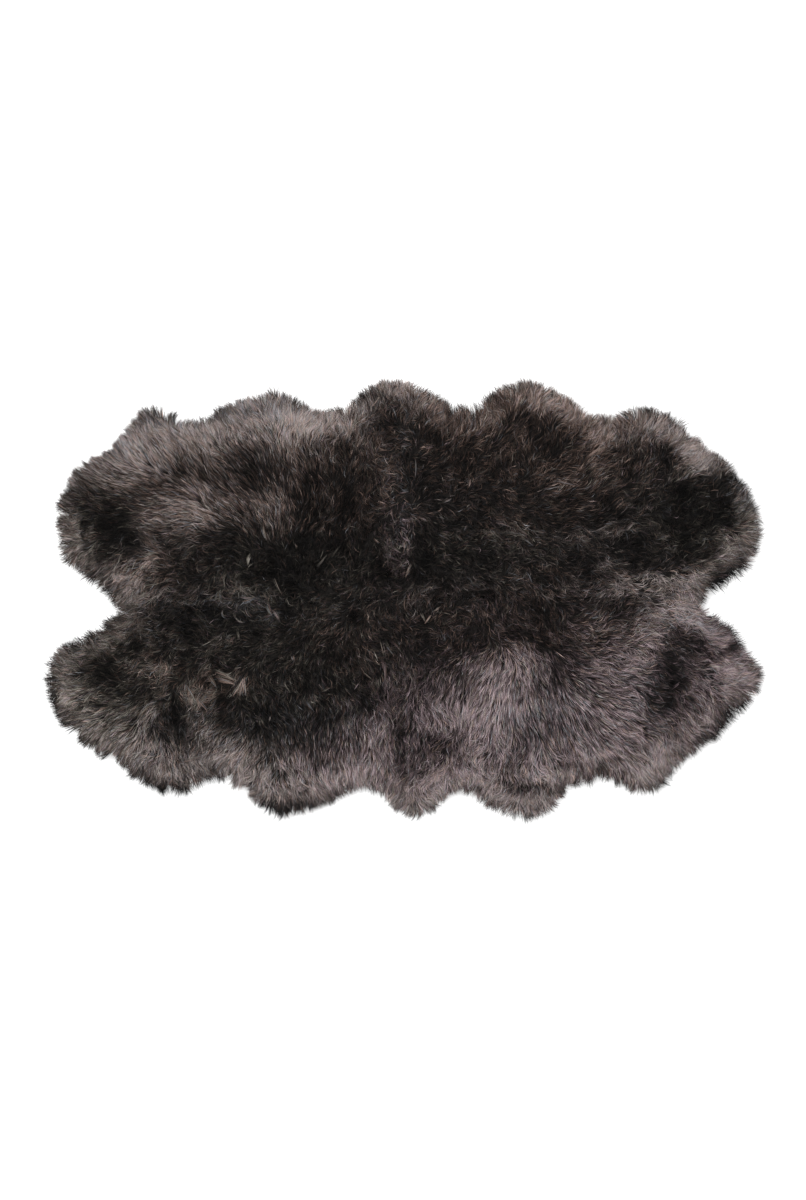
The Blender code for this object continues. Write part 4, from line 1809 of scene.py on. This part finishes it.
@dataclass(frozen=True)
class SuedeFinish:
    """The flesh side of the dyed skin: dull suede with a fine nap and faint cloudiness."""

    dark: Triple = (0.044, 0.037, 0.033)
    light: Triple = (0.096, 0.081, 0.072)
    roughness: float = 0.88
    sheen: float = 0.2
    cloud_scale: float = 9.0
    cloud_detail: float = 5.0
    cloud_share: float = 0.65
    grain_scale: float = 700.0
    grain_detail: float = 2.0
    grain_share: float = 0.35
    tone_span: Pair = (0.3, 0.7)
    bump_strength: float = 0.35
    bump_depth: float = 0.0006

    def material(self) -> bpy.types.Material:
        """Makes the material.

        Returns:
            The material.
        """
        shader = Shader("suede", Roughness=self.roughness, Sheen_Weight=self.sheen)
        cloud = shader.noise(self.cloud_scale, self.cloud_detail)
        grain = shader.noise(self.grain_scale, self.grain_detail)
        stops = list(zip(self.tone_span, (self.dark, self.light)))
        tone = cloud * self.cloud_share + grain * self.grain_share
        shader.drive("Base Color", shader.ramp(tone, stops))
        shader.bump(grain, self.bump_strength, self.bump_depth)
        return shader.material


def outline_of(node: bpy.types.Object, lock_height: float) -> list[Vector]:
    """The outline of a pelt's hide: the foot of its CAD solid, with the locks at the rim left off.

    Args:
        node: The pelt's CAD node.
        lock_height: The wool's height over the foot below which a point belongs to a lock.

    Returns:
        The outline's points in turn, counterclockwise from above.
    """
    shape = bmesh.new()
    shape.from_mesh(node.data)
    bmesh.ops.remove_doubles(shape, verts=shape.verts, dist=TINY)
    foot = [face for face in shape.faces if all(vertex.co.z < ON_FLOOR for vertex in face.verts)]
    border = [
        edge for face in foot for edge in face.edges if sum(beside in foot for beside in edge.link_faces) == 1
    ]
    follow: dict[Any, list[Any]] = {}
    for edge in border:
        for vertex in edge.verts:
            follow.setdefault(vertex, []).append(edge.other_vert(vertex))
    first = border[0].verts[0]
    loop, last = [first], None
    while True:
        ahead = [vertex for vertex in follow[loop[-1]] if vertex is not last]
        last = loop[-1]
        if ahead[0] is first:
            break
        loop.append(ahead[0])
    kept = []
    for vertex in loop:
        above = max(edge.other_vert(vertex).co.z for edge in vertex.link_edges)
        if above > lock_height:
            kept.append(vertex.co.copy())
    area = sum(a.x * b.y - b.x * a.y for a, b in zip(kept, [*kept[1:], kept[0]])) / 2
    shape.free()
    return kept if area > 0 else kept[::-1]


def link(name: str, shape: bmesh.types.BMesh, material: bpy.types.Material) -> bpy.types.Object:
    """Makes an object of a finished shape.

    Args:
        name: The object's name.
        shape: The shape, which is freed.
        material: Its material.

    Returns:
        The object.
    """
    mesh = bpy.data.meshes.new(name)
    shape.to_mesh(mesh)
    shape.free()
    mesh.materials.append(material)
    piece = bpy.data.objects.new(name, mesh)
    bpy.context.scene.collection.objects.link(piece)
    return piece


@dataclass
class Hide:
    """A pelt's skin: a thin sheet on the floor, flesh side down."""

    node: bpy.types.Object
    plan: Plan
    finish: bpy.types.Material
    thickness: float = 0.0025
    lock_height: float = 0.0165
    rim_inset: float = 0.030
    smoothings: int = 6
    area: float = field(init=False)

    def _drawn_in(self, outline: list[Vector]) -> list[Vector]:
        """Draws the outline in under the wool at the rug's rim, and smooths it.

        Args:
            outline: The outline's points in turn.

        Returns:
            The moved points.
        """
        points = np.array([point[:] for point in outline])
        read = self.plan.read
        x, y = points[:, 0].copy(), points[:, 1].copy()
        draw = np.maximum(self.rim_inset - read(self.plan.inset, x, y), 0.0)
        points[:, 0] -= draw * read(self.plan.out_x, x, y)
        points[:, 1] -= draw * read(self.plan.out_y, x, y)
        for _ in range(self.smoothings):
            mean = 0.25 * (np.roll(points, 1, 0) + np.roll(points, -1, 0)) + 0.5 * points
            points = np.where((draw > 0)[:, None], mean, points)
        return [Vector(point) for point in points]

    def build(self) -> bpy.types.Object:
        """Cuts the skin to its outline.

        Returns:
            The piece.
        """
        outline = self._drawn_in(outline_of(self.node, self.lock_height))
        shape = bmesh.new()
        face = shape.faces.new([shape.verts.new((point.x, point.y, self.thickness)) for point in outline])
        self.area = face.calc_area()
        sunk = bmesh.ops.extrude_face_region(shape, geom=[face], use_keep_orig=True)["geom"]
        low = [item for item in sunk if isinstance(item, bmesh.types.BMVert)]
        bmesh.ops.translate(shape, verts=low, vec=(0.0, 0.0, -self.thickness))
        bmesh.ops.recalc_face_normals(shape, faces=shape.faces)
        return link(f"hide_{self.node.name}", shape, self.finish)

    def declare(self, piece: bpy.types.Object) -> None:
        """Reads the pelt's CAD box, and does nothing more with it.

        Args:
            piece: The skin; not used.
        """
        low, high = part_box(self.node.name)


@dataclass
class Underwool:
    """The dense wool of one pelt below its locks, with the form of the CAD solid."""

    node: bpy.types.Object
    plan: Plan
    finish: bpy.types.Material
    share: float = 0.60
    foot: float = 0.0025
    rim_inset: float = 0.025
    top_start: float = 0.015
    lump_height: float = 0.0022
    lump_size: float = 0.014
    lump_band: float = 0.03
    lump_seed: int = SEED + 30
    least_height: float = 0.0035

    def build(self) -> bpy.types.Object:
        """Lowers a copy of the CAD solid's wool, draws its locks in and makes it lumpy.

        Returns:
            The piece.
        """
        shape = bmesh.new()
        shape.from_mesh(self.node.data)
        bmesh.ops.remove_doubles(shape, verts=shape.verts, dist=TINY)
        top = [edge for edge in shape.edges if max(vertex.co.z for vertex in edge.verts) > self.top_start]
        bmesh.ops.subdivide_edges(shape, edges=top, cuts=1, use_grid_fill=True)
        bmesh.ops.triangulate(shape, faces=shape.faces)
        x = np.array([vertex.co.x for vertex in shape.verts])
        y = np.array([vertex.co.y for vertex in shape.verts])
        inset = self.plan.read(self.plan.inset, x, y)
        out_x = self.plan.read(self.plan.out_x, x, y)
        out_y = self.plan.read(self.plan.out_y, x, y)
        draw = np.maximum(self.rim_inset - inset, 0.0)
        lump = self.lump_height * SoftNoise(self.lump_size, self.lump_seed)(x, y)
        for vertex, dx, dy, up, deep in zip(shape.verts, draw * out_x, draw * out_y, lump, inset):
            vertex.co.x -= dx
            vertex.co.y -= dy
            if vertex.co.z > ON_FLOOR:
                high = vertex.co.z * self.share + up * min(max(deep / self.lump_band, 0.0), 1.0)
                vertex.co.z = max(high, self.least_height)
            else:
                vertex.co.z = self.foot
        bmesh.ops.recalc_face_normals(shape, faces=shape.faces)
        for face in shape.faces:
            face.smooth = True
        piece = link(f"underwool_{self.node.name}", shape, self.finish)
        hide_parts(self.node.name)
        return piece


@dataclass
class Strands:
    """Blades of wool as one joined mesh. Each is a tapered, bent strip that ends in a point."""

    points: Array
    width: Array
    tone: Array
    dye: Array
    twist: Array
    most_twist: float = 55.0
    profile_at: tuple[float, ...] = (0.0, 0.4, 1.0)
    profile: tuple[float, ...] = (0.8, 1.0, 0.5)
    along_margin: float = 0.02
    along_span: float = 0.96

    def _sides(self) -> Array:
        """Finds the way across each blade, turned on edge by its twist.

        Returns:
            A unit vector for each station of each blade.
        """
        points, count = self.points, len(self.points)
        tangent = np.gradient(points, axis=1)
        tangent /= np.maximum(np.linalg.norm(tangent, axis=2, keepdims=True), NO_LENGTH)
        heading = points[:, -1, :2] - points[:, 0, :2]
        heading /= np.maximum(np.linalg.norm(heading, axis=1, keepdims=True), NO_LENGTH)
        level = np.stack([-heading[:, 1], heading[:, 0], np.zeros(count)], 1)[:, None, :]
        upright = np.cross(tangent, np.broadcast_to(level, tangent.shape))
        angle = np.radians(self.most_twist) * self.twist[:, None, None]
        return np.cos(angle) * level + np.sin(angle) * upright

    def _vertices(self) -> Array:
        """Sets each blade's vertices out: a left and a right one at each station, and one at the tip.

        Returns:
            The vertices: blade, vertex and X, Y, Z.
        """
        side = self._sides()[:, :-1]
        count, stations = self.points.shape[:2]
        profile = np.interp(np.linspace(0.0, 1.0, stations)[:-1], self.profile_at, self.profile)
        half = 0.5 * self.width[:, None, None] * profile[None, :, None]
        left = self.points[:, :-1] - side * half
        right = self.points[:, :-1] + side * half
        pairs = np.stack([left, right], 2).reshape(count, 2 * (stations - 1), 3)
        return np.concatenate([pairs, self.points[:, -1:]], 1)

    @staticmethod
    def _corners(count: int, stations: int) -> Array:
        """Lists the corners of the blades' triangles.

        Args:
            count: The number of blades.
            stations: The stations of one blade.

        Returns:
            The indices of the vertices, three for each triangle.
        """
        per_blade = 2 * (stations - 1) + 1
        faces = []
        for first in range(0, 2 * (stations - 2), 2):
            faces += [(first, first + 1, first + 3), (first, first + 3, first + 2)]
        faces.append((per_blade - 3, per_blade - 2, per_blade - 1))
        return (np.arange(count)[:, None, None] * per_blade + np.array(faces)[None]).reshape(-1)

    def build(self, name: str, share: Array, finish: bpy.types.Material) -> bpy.types.Object:
        """Makes the mesh, with each blade's dye and tone across its UV map and its length along it.

        Args:
            name: The piece's name.
            share: How far along its blade each station stands, from 0 to 1.
            finish: The wool's material.

        Returns:
            The piece.
        """
        vertices = self._vertices()
        corners = self._corners(*self.points.shape[:2])
        along = self.along_margin + self.along_span * np.append(np.repeat(share[:-1], 2), 1.0)
        across = (self.dye + BAND_MARGIN + BAND_SPAN * self.tone) / len(Dye)
        uv = np.stack(np.broadcast_arrays(across[:, None], along[None, :]), 2).reshape(-1, 2)
        mesh = bpy.data.meshes.new(name)
        mesh.vertices.add(vertices.shape[0] * vertices.shape[1])
        mesh.vertices.foreach_set("co", vertices.astype(np.float32).ravel())
        mesh.loops.add(len(corners))
        mesh.loops.foreach_set("vertex_index", corners.astype(np.int32))
        mesh.polygons.add(len(corners) // 3)
        mesh.polygons.foreach_set("loop_start", np.arange(0, len(corners), 3, dtype=np.int32))
        mesh.update(calc_edges=True)
        layer = mesh.uv_layers.new(name="OFBake")
        layer.data.foreach_set("uv", uv[corners].astype(np.float32).ravel())
        mesh.shade_smooth()
        mesh.materials.append(finish)
        piece = bpy.data.objects.new(name, mesh)
        bpy.context.scene.collection.objects.link(piece)
        return piece


@dataclass
class Wisps:
    """The pale strands that lie loose on one pelt's coat, each of a few blades that meet at the tip."""

    name: str
    index: int
    plan: Plan
    locks: Locks
    finish: bpy.types.Material
    width: float = 0.0011
    width_span: Pair = (0.8, 1.2)
    tone_span: Pair = (0.65, 1.15)
    length_span: Pair = (0.8, 1.1)
    curl_spread: float = 8.0
    curl_pivot: float = 0.3
    twist: float = 0.5
    stations: int = 7
    bare_root: float = 0.3
    spread: float = 0.0012
    meeting: float = 0.45
    lift: float = 0.024
    lift_span: Pair = (-0.003, 0.002)
    arch: float = 0.004
    ceiling: float = 0.070
    seed: int = SEED + 700

    def _strand(self, row: Wisp, rng: Chance) -> Array:
        """Lays one wisp's blades on the coat.

        Args:
            row: The wisp.
            rng: The source of chance.

        Returns:
            The blades' points: blade, station and X, Y, Z.
        """
        parts = self.stations - 1
        share = np.linspace(0.0, 1.0, self.stations)
        curl = np.radians(row.curl + rng.normal(0.0, self.curl_spread, row.blades))[:, None]
        heading = math.radians(row.heading) + curl * (share[None, :-1] + 0.5 / parts - self.curl_pivot)
        stride = row.length * STEP * rng.uniform(*self.length_span, row.blades)[:, None] / parts
        root = np.zeros((row.blades, 1))
        x = np.concatenate([root, np.cumsum(np.cos(heading) * stride, 1)], 1)
        y = np.concatenate([root, np.cumsum(np.sin(heading) * stride, 1)], 1)
        apart = rng.normal(0.0, self.spread * math.sqrt(row.blades), (row.blades, 2, 1))
        apart = apart * (1.0 - self.meeting * share)
        x, y = x + row.x * STEP + apart[:, 0], y + row.y * STEP + apart[:, 1]
        high = self.locks.under(x.ravel(), y.ravel()).reshape(x.shape) + self.lift
        high += rng.uniform(*self.lift_span, (row.blades, 1)) + self.arch * np.sin(math.pi * share)
        return np.stack([x, y, np.minimum(high, self.ceiling)], 2)

    def build(self) -> bpy.types.Object:
        """Lays the wisps.

        Returns:
            The piece.
        """
        rng = np.random.default_rng(self.seed + self.index)
        x, y = np.array([row.x * STEP for row in WISPS]), np.array([row.y * STEP for row in WISPS])
        rows = [row for row, pelt in zip(WISPS, self.plan.pelt_at(x, y)) if pelt == self.index]
        points = np.concatenate([self._strand(row, rng) for row in rows])
        count, middle = len(points), self.stations // 2
        dye = self.locks.coat.dyes(points[:, middle, 0], points[:, middle, 1], rng.random(count))
        tone = np.concatenate([np.full(row.blades, row.tone) for row in rows])
        tone = tone * rng.uniform(*self.tone_span, count)
        width = self.width * rng.uniform(*self.width_span, count)
        strands = Strands(points, width, tone, dye, rng.uniform(-self.twist, self.twist, count))
        share = np.linspace(self.bare_root, 1.0, self.stations)
        return strands.build(f"wisps_{self.name}", share, self.finish)


@dataclass
class Fleece:
    """The blades of wool of one pelt, gathered in its locks.

    Lengths are in metres, and a blade's reach is a share of its lock's path.
    """

    name: str
    index: int
    plan: Plan
    locks: Locks
    grain: Grain
    finish: bpy.types.Material
    blades: int = 66000
    rim_share: float = 0.28
    rim_band: float = 0.062
    least_inset: float = 0.022
    stations: int = 3
    taper_late: float = 0.58
    width: float = 0.00105
    width_span: Pair = (0.65, 1.25)
    edge_width: float = 0.5
    reach_beta: Pair = (2.0, 2.2)
    inner_reach: Slope = Slope(0.60, 0.50)
    edge_reach: Slope = Slope(0.76, 0.33)
    grain_reach: float = 0.07
    gather_span: Pair = (0.6, 1.15)
    gather_power: float = 1.4
    root_sink: float = 0.003
    stray: float = 0.0022
    stray_height: float = 0.8
    stray_calm: float = 0.25
    stray_power: float = 1.3
    sunk_share: float = 0.4
    sunk_span: Pair = (0.2, 0.95)
    floor_gap: float = 0.0012
    soft_ceiling: float = 0.063
    ceiling_band: float = 0.008
    seen_middle: float = 0.35
    seen_tip: float = 0.65
    skew: Slope = Slope(0.25, 0.65)
    skewed_below: float = 0.5
    grain_tone: float = 0.25
    blade_tone: float = 0.24
    lock_contrast: Slope = Slope(0.45, 0.7)
    streak_contrast: Triple = (0.24, 1.35, 0.55)
    # tip_shade is painted shade: the tips of blades that lie out past the rim are made darker.
    tip_shade: float = 0.28
    tip_band: float = 0.015
    seed: int = SEED
    seed_step: int = 100

    def _roots(self, rng: Chance) -> tuple[Array, Array]:
        """Scatters the roots over the pelt, closer together at the rim.

        Args:
            rng: The source of chance.

        Returns:
            The places along X and Y.
        """
        low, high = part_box(self.name)
        kept_x, kept_y = [], []
        at_rim = int(self.blades * self.rim_share)
        for count, deepest in ((self.blades - at_rim, math.inf), (at_rim, self.rim_band)):
            found = 0
            while found < count:
                x = rng.uniform(low.x, high.x, self.blades)
                y = rng.uniform(low.y, high.y, self.blades)
                inset = self.plan.read(self.plan.inset, x, y)
                here = self.plan.pelt_at(x, y) == self.index
                good = here & (inset > self.least_inset) & (inset < deepest)
                x, y = x[good][: count - found], y[good][: count - found]
                kept_x.append(x)
                kept_y.append(y)
                found += len(x)
        return np.concatenate(kept_x), np.concatenate(kept_y)

    def _follow(self, x: Array, y: Array, lock: Array, rng: Chance) -> Array:
        """Leads each blade along its lock's path, beside it at the root and nearer to it at the tip.

        Args:
            x: The roots' places along X.
            y: The roots' places along Y.
            lock: The blades' locks.
            rng: The source of chance.

        Returns:
            The blades' points: blade, station and X, Y, Z.
        """
        locks, count = self.locks, len(x)
        edge = locks.edge[lock]
        longer = rng.beta(*self.reach_beta, count)
        reach = self.inner_reach.at(longer) * (1.0 + self.grain_reach * self.grain(x, y)) * (1.0 - edge)
        reach += self.edge_reach.at(longer) * edge
        off_x, off_y = x - locks.grid.x[lock], y - locks.grid.y[lock]
        gather = locks.gather[lock] * rng.uniform(*self.gather_span, count)
        share = self._shares()
        at = share[None, :] * reach[:, None] * (locks.stations - 1)
        low = np.clip(at.astype(int), 0, locks.stations - 2)
        part = (at - low)[..., None]
        paths = locks.paths[lock]
        rows = np.arange(count)[:, None]
        points = paths[rows, low] * (1 - part) + paths[rows, low + 1] * part
        spread = 1.0 - gather[:, None] * share[None, :] ** self.gather_power
        points[..., 0] += off_x[:, None] * spread
        points[..., 1] += off_y[:, None] * spread
        rise = (locks.under(x, y) - locks.paths[lock, 0, 2])[:, None]
        points[..., 2] += rise * (1 - share) - self.root_sink * (1 - share)
        return points

    def _ruffle(self, points: Array, lock: Array, rng: Chance) -> None:
        """Bends the blades aside, lets their tips stray and keeps them over the floor and under the ceiling.

        Args:
            points: The blades' points, changed in place.
            lock: The blades' locks.
            rng: The source of chance.
        """
        count, edge, share = len(points), self.locks.edge[lock], self._shares()
        bend = rng.normal(0.0, 1.0, count) * self.locks.frizz[lock]
        from_x, from_y = points[..., 0] - points[:, :1, 0], points[..., 1] - points[:, :1, 1]
        turned_x = from_x * np.cos(bend)[:, None] - from_y * np.sin(bend)[:, None]
        turned_y = from_x * np.sin(bend)[:, None] + from_y * np.cos(bend)[:, None]
        points[..., 0] += turned_x - from_x
        points[..., 1] += turned_y - from_y
        stray = rng.normal(0.0, self.stray, (count, 3)) * np.array([1.0, 1.0, self.stray_height])
        stray = stray * (1.0 - self.stray_calm * edge)[:, None]
        points += stray[:, None, :] * share[None, :, None] ** self.stray_power
        sunk = (rng.random(count) < self.sunk_share) * rng.uniform(*self.sunk_span, count) * edge
        points[..., 2] = np.maximum(points[..., 2] * (1.0 - sunk)[:, None], self.floor_gap)
        high = points[..., 2] - self.soft_ceiling
        eased_in = self.soft_ceiling + self.ceiling_band * np.tanh(high / self.ceiling_band)
        points[..., 2] = np.where(high > 0, eased_in, points[..., 2])

    def _tones(self, x: Array, y: Array, lock: Array, rng: Chance) -> Array:
        """Mixes each blade's tone of the coat's, which carries painted sheen and shade, its lock's, the
        grain's and its own, with painted shade on tips past the rim.

        Args:
            x: Where the blade is seen, along X.
            y: Where the blade is seen, along Y.
            lock: The blades' locks.
            rng: The source of chance.

        Returns:
            The tones.
        """
        tone = self.plan.read(self.locks.coat.tone, x, y)
        skew = self.skew.at(faded(tone, self.skewed_below))
        drawn = np.exp(skew * rng.normal(0.0, 1.0, len(x)) - 0.5 * skew**2) - 1.0
        pale = drawn / np.sqrt(np.exp(skew**2) - 1.0)
        streak = self.grain_tone * self.grain(x, y) + self.blade_tone * pale
        # Painted shade: tips that lie out past the rim are darker.
        past_rim = np.clip(-self.plan.read(self.plan.inset, x, y) / self.tip_band, 0.0, 1.0)
        tone = tone - self.tip_shade * past_rim
        start, gain, bend = self.streak_contrast
        contrast = start + gain * tone - bend * tone**2
        tone = tone + self.locks.tone_off[lock] * self.lock_contrast.at(tone) + streak * contrast
        return np.clip(tone, 0.0, 1.0)

    def _shares(self) -> Array:
        """How far along its blade each station stands."""
        return np.linspace(0.0, 1.0, self.stations) ** self.taper_late

    def build(self) -> bpy.types.Object:
        """Grows the blades.

        Returns:
            The piece.
        """
        rng = np.random.default_rng(self.seed + self.seed_step * (self.index + 1))
        x, y = self._roots(rng)
        lock = self.locks.grid.nearest(x, y)
        count = len(x)
        points = self._follow(x, y, lock, rng)
        self._ruffle(points, lock, rng)
        seen = self.seen_middle * points[:, self.stations // 2] + self.seen_tip * points[:, -1]
        seen_x, seen_y = seen[:, 0], seen[:, 1]
        tone = self._tones(seen_x, seen_y, lock, rng)
        dye = self.locks.coat.dyes(seen_x, seen_y, rng.random(count))
        wider = 1.0 + self.edge_width * self.locks.edge[lock]
        width = self.width * rng.uniform(*self.width_span, count) * wider
        strands = Strands(points, width, tone, dye, rng.uniform(-1.0, 1.0, count))
        return strands.build(f"fleece_{self.name}", self._shares(), self.finish)


@dataclass
class Studio:
    """The camera straight above, the pale floor and soft lights in a white room."""

    lens: float = 85.0
    sensor: float = 36.0
    view_height: float = 3.0
    aim_x: float = -0.0010
    aim_y: float = -0.00375
    focus_height: float = 0.012
    far: float = 60.0
    floor_size: float = 16.0
    floor_grey: float = 0.92
    floor_roughness: float = 0.9
    room_light: float = 0.96
    lamps: tuple[Lamp, ...] = (
        Lamp("overhead", (-0.4, 0.5, 3.6), 2.6, 140.0),
        Lamp("back_left", (-3.0, 2.6, 2.6), 2.0, 89.0),
    )

    def set_camera(self) -> None:
        """Puts the camera over the rug, at the photograph's framing."""
        data = bpy.data.cameras.new("camera")
        data.lens = self.lens
        data.sensor_width = self.sensor
        data.clip_end = self.far
        camera = bpy.data.objects.new("camera", data)
        distance = self.view_height * self.lens / data.sensor_width
        camera.location = (self.aim_x, self.aim_y, distance + self.focus_height)
        bpy.context.scene.collection.objects.link(camera)
        bpy.context.scene.camera = camera

    def lay_floor(self) -> None:
        """Lays the pale floor."""
        grey = self.floor_grey
        shader = Shader("pale_floor", Base_Color=(grey, grey, grey, 1.0), Roughness=self.floor_roughness)
        shape = bmesh.new()
        bmesh.ops.create_grid(shape, x_segments=1, y_segments=1, size=self.floor_size / 2)
        link("floor", shape, shader.material)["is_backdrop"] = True

    def light(self) -> None:
        """Lights the white room, and hangs a wide soft light overhead and a weaker one at the back left."""
        scene = bpy.context.scene
        scene.view_settings.view_transform = "Standard"
        world = bpy.data.worlds.new("room")
        world.use_nodes = True
        background = world.node_tree.nodes["Background"].inputs
        background["Color"].default_value = (1.0, 1.0, 1.0, 1.0)
        background["Strength"].default_value = self.room_light
        scene.world = world
        for lamp in self.lamps:
            data = bpy.data.lights.new(lamp.name, "AREA")
            data.shape = "SQUARE"
            data.size = lamp.size
            data.energy = lamp.power
            hung = bpy.data.objects.new(lamp.name, data)
            hung.location = lamp.place
            hung.rotation_euler = (-Vector(lamp.place)).to_track_quat("-Z", "Y").to_euler()
            scene.collection.objects.link(hung)


def corners(box: tuple[Vector, Vector]) -> list[list[float]]:
    """A box as plain lists."""
    return [list(box[0]), list(box[1])]


def main() -> None:
    """Builds the rug on its CAD part, pelt by pelt."""
    studio = Studio()
    studio.set_camera()
    cad_box = corners(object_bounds())
    nodes = frame["nodes"]
    plan = Plan(nodes)
    log.info("plan: %d by %d points", *plan.height.shape)
    coat = Coat(plan)
    grain = Grain(coat)
    locks = Locks(plan, coat)
    log.info("locks: %d", len(locks.paths))
    wool = FleeceFinish().material()
    underwool = UnderwoolFinish().material()
    suede = SuedeFinish().material()
    for index, name in enumerate(plan.names):
        hide = Hide(nodes[name], plan, suede)
        skin = hide.build()
        mass = Underwool(nodes[name], plan, underwool, share=locks.under_share).build()
        fleece = Fleece(name, index, plan, locks, grain, wool).build()
        wisps = Wisps(name, index, plan, locks, wool).build()
        for piece in (skin, mass, fleece, wisps):
            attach(piece, "root")
            log.info("%s: %d faces", piece.name, len(piece.data.polygons))
        hide.declare(skin)
    studio.lay_floor()
    studio.light()
    {"cad": cad_box, "visual": corners(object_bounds())}


if __name__ == "__main__":
    main()
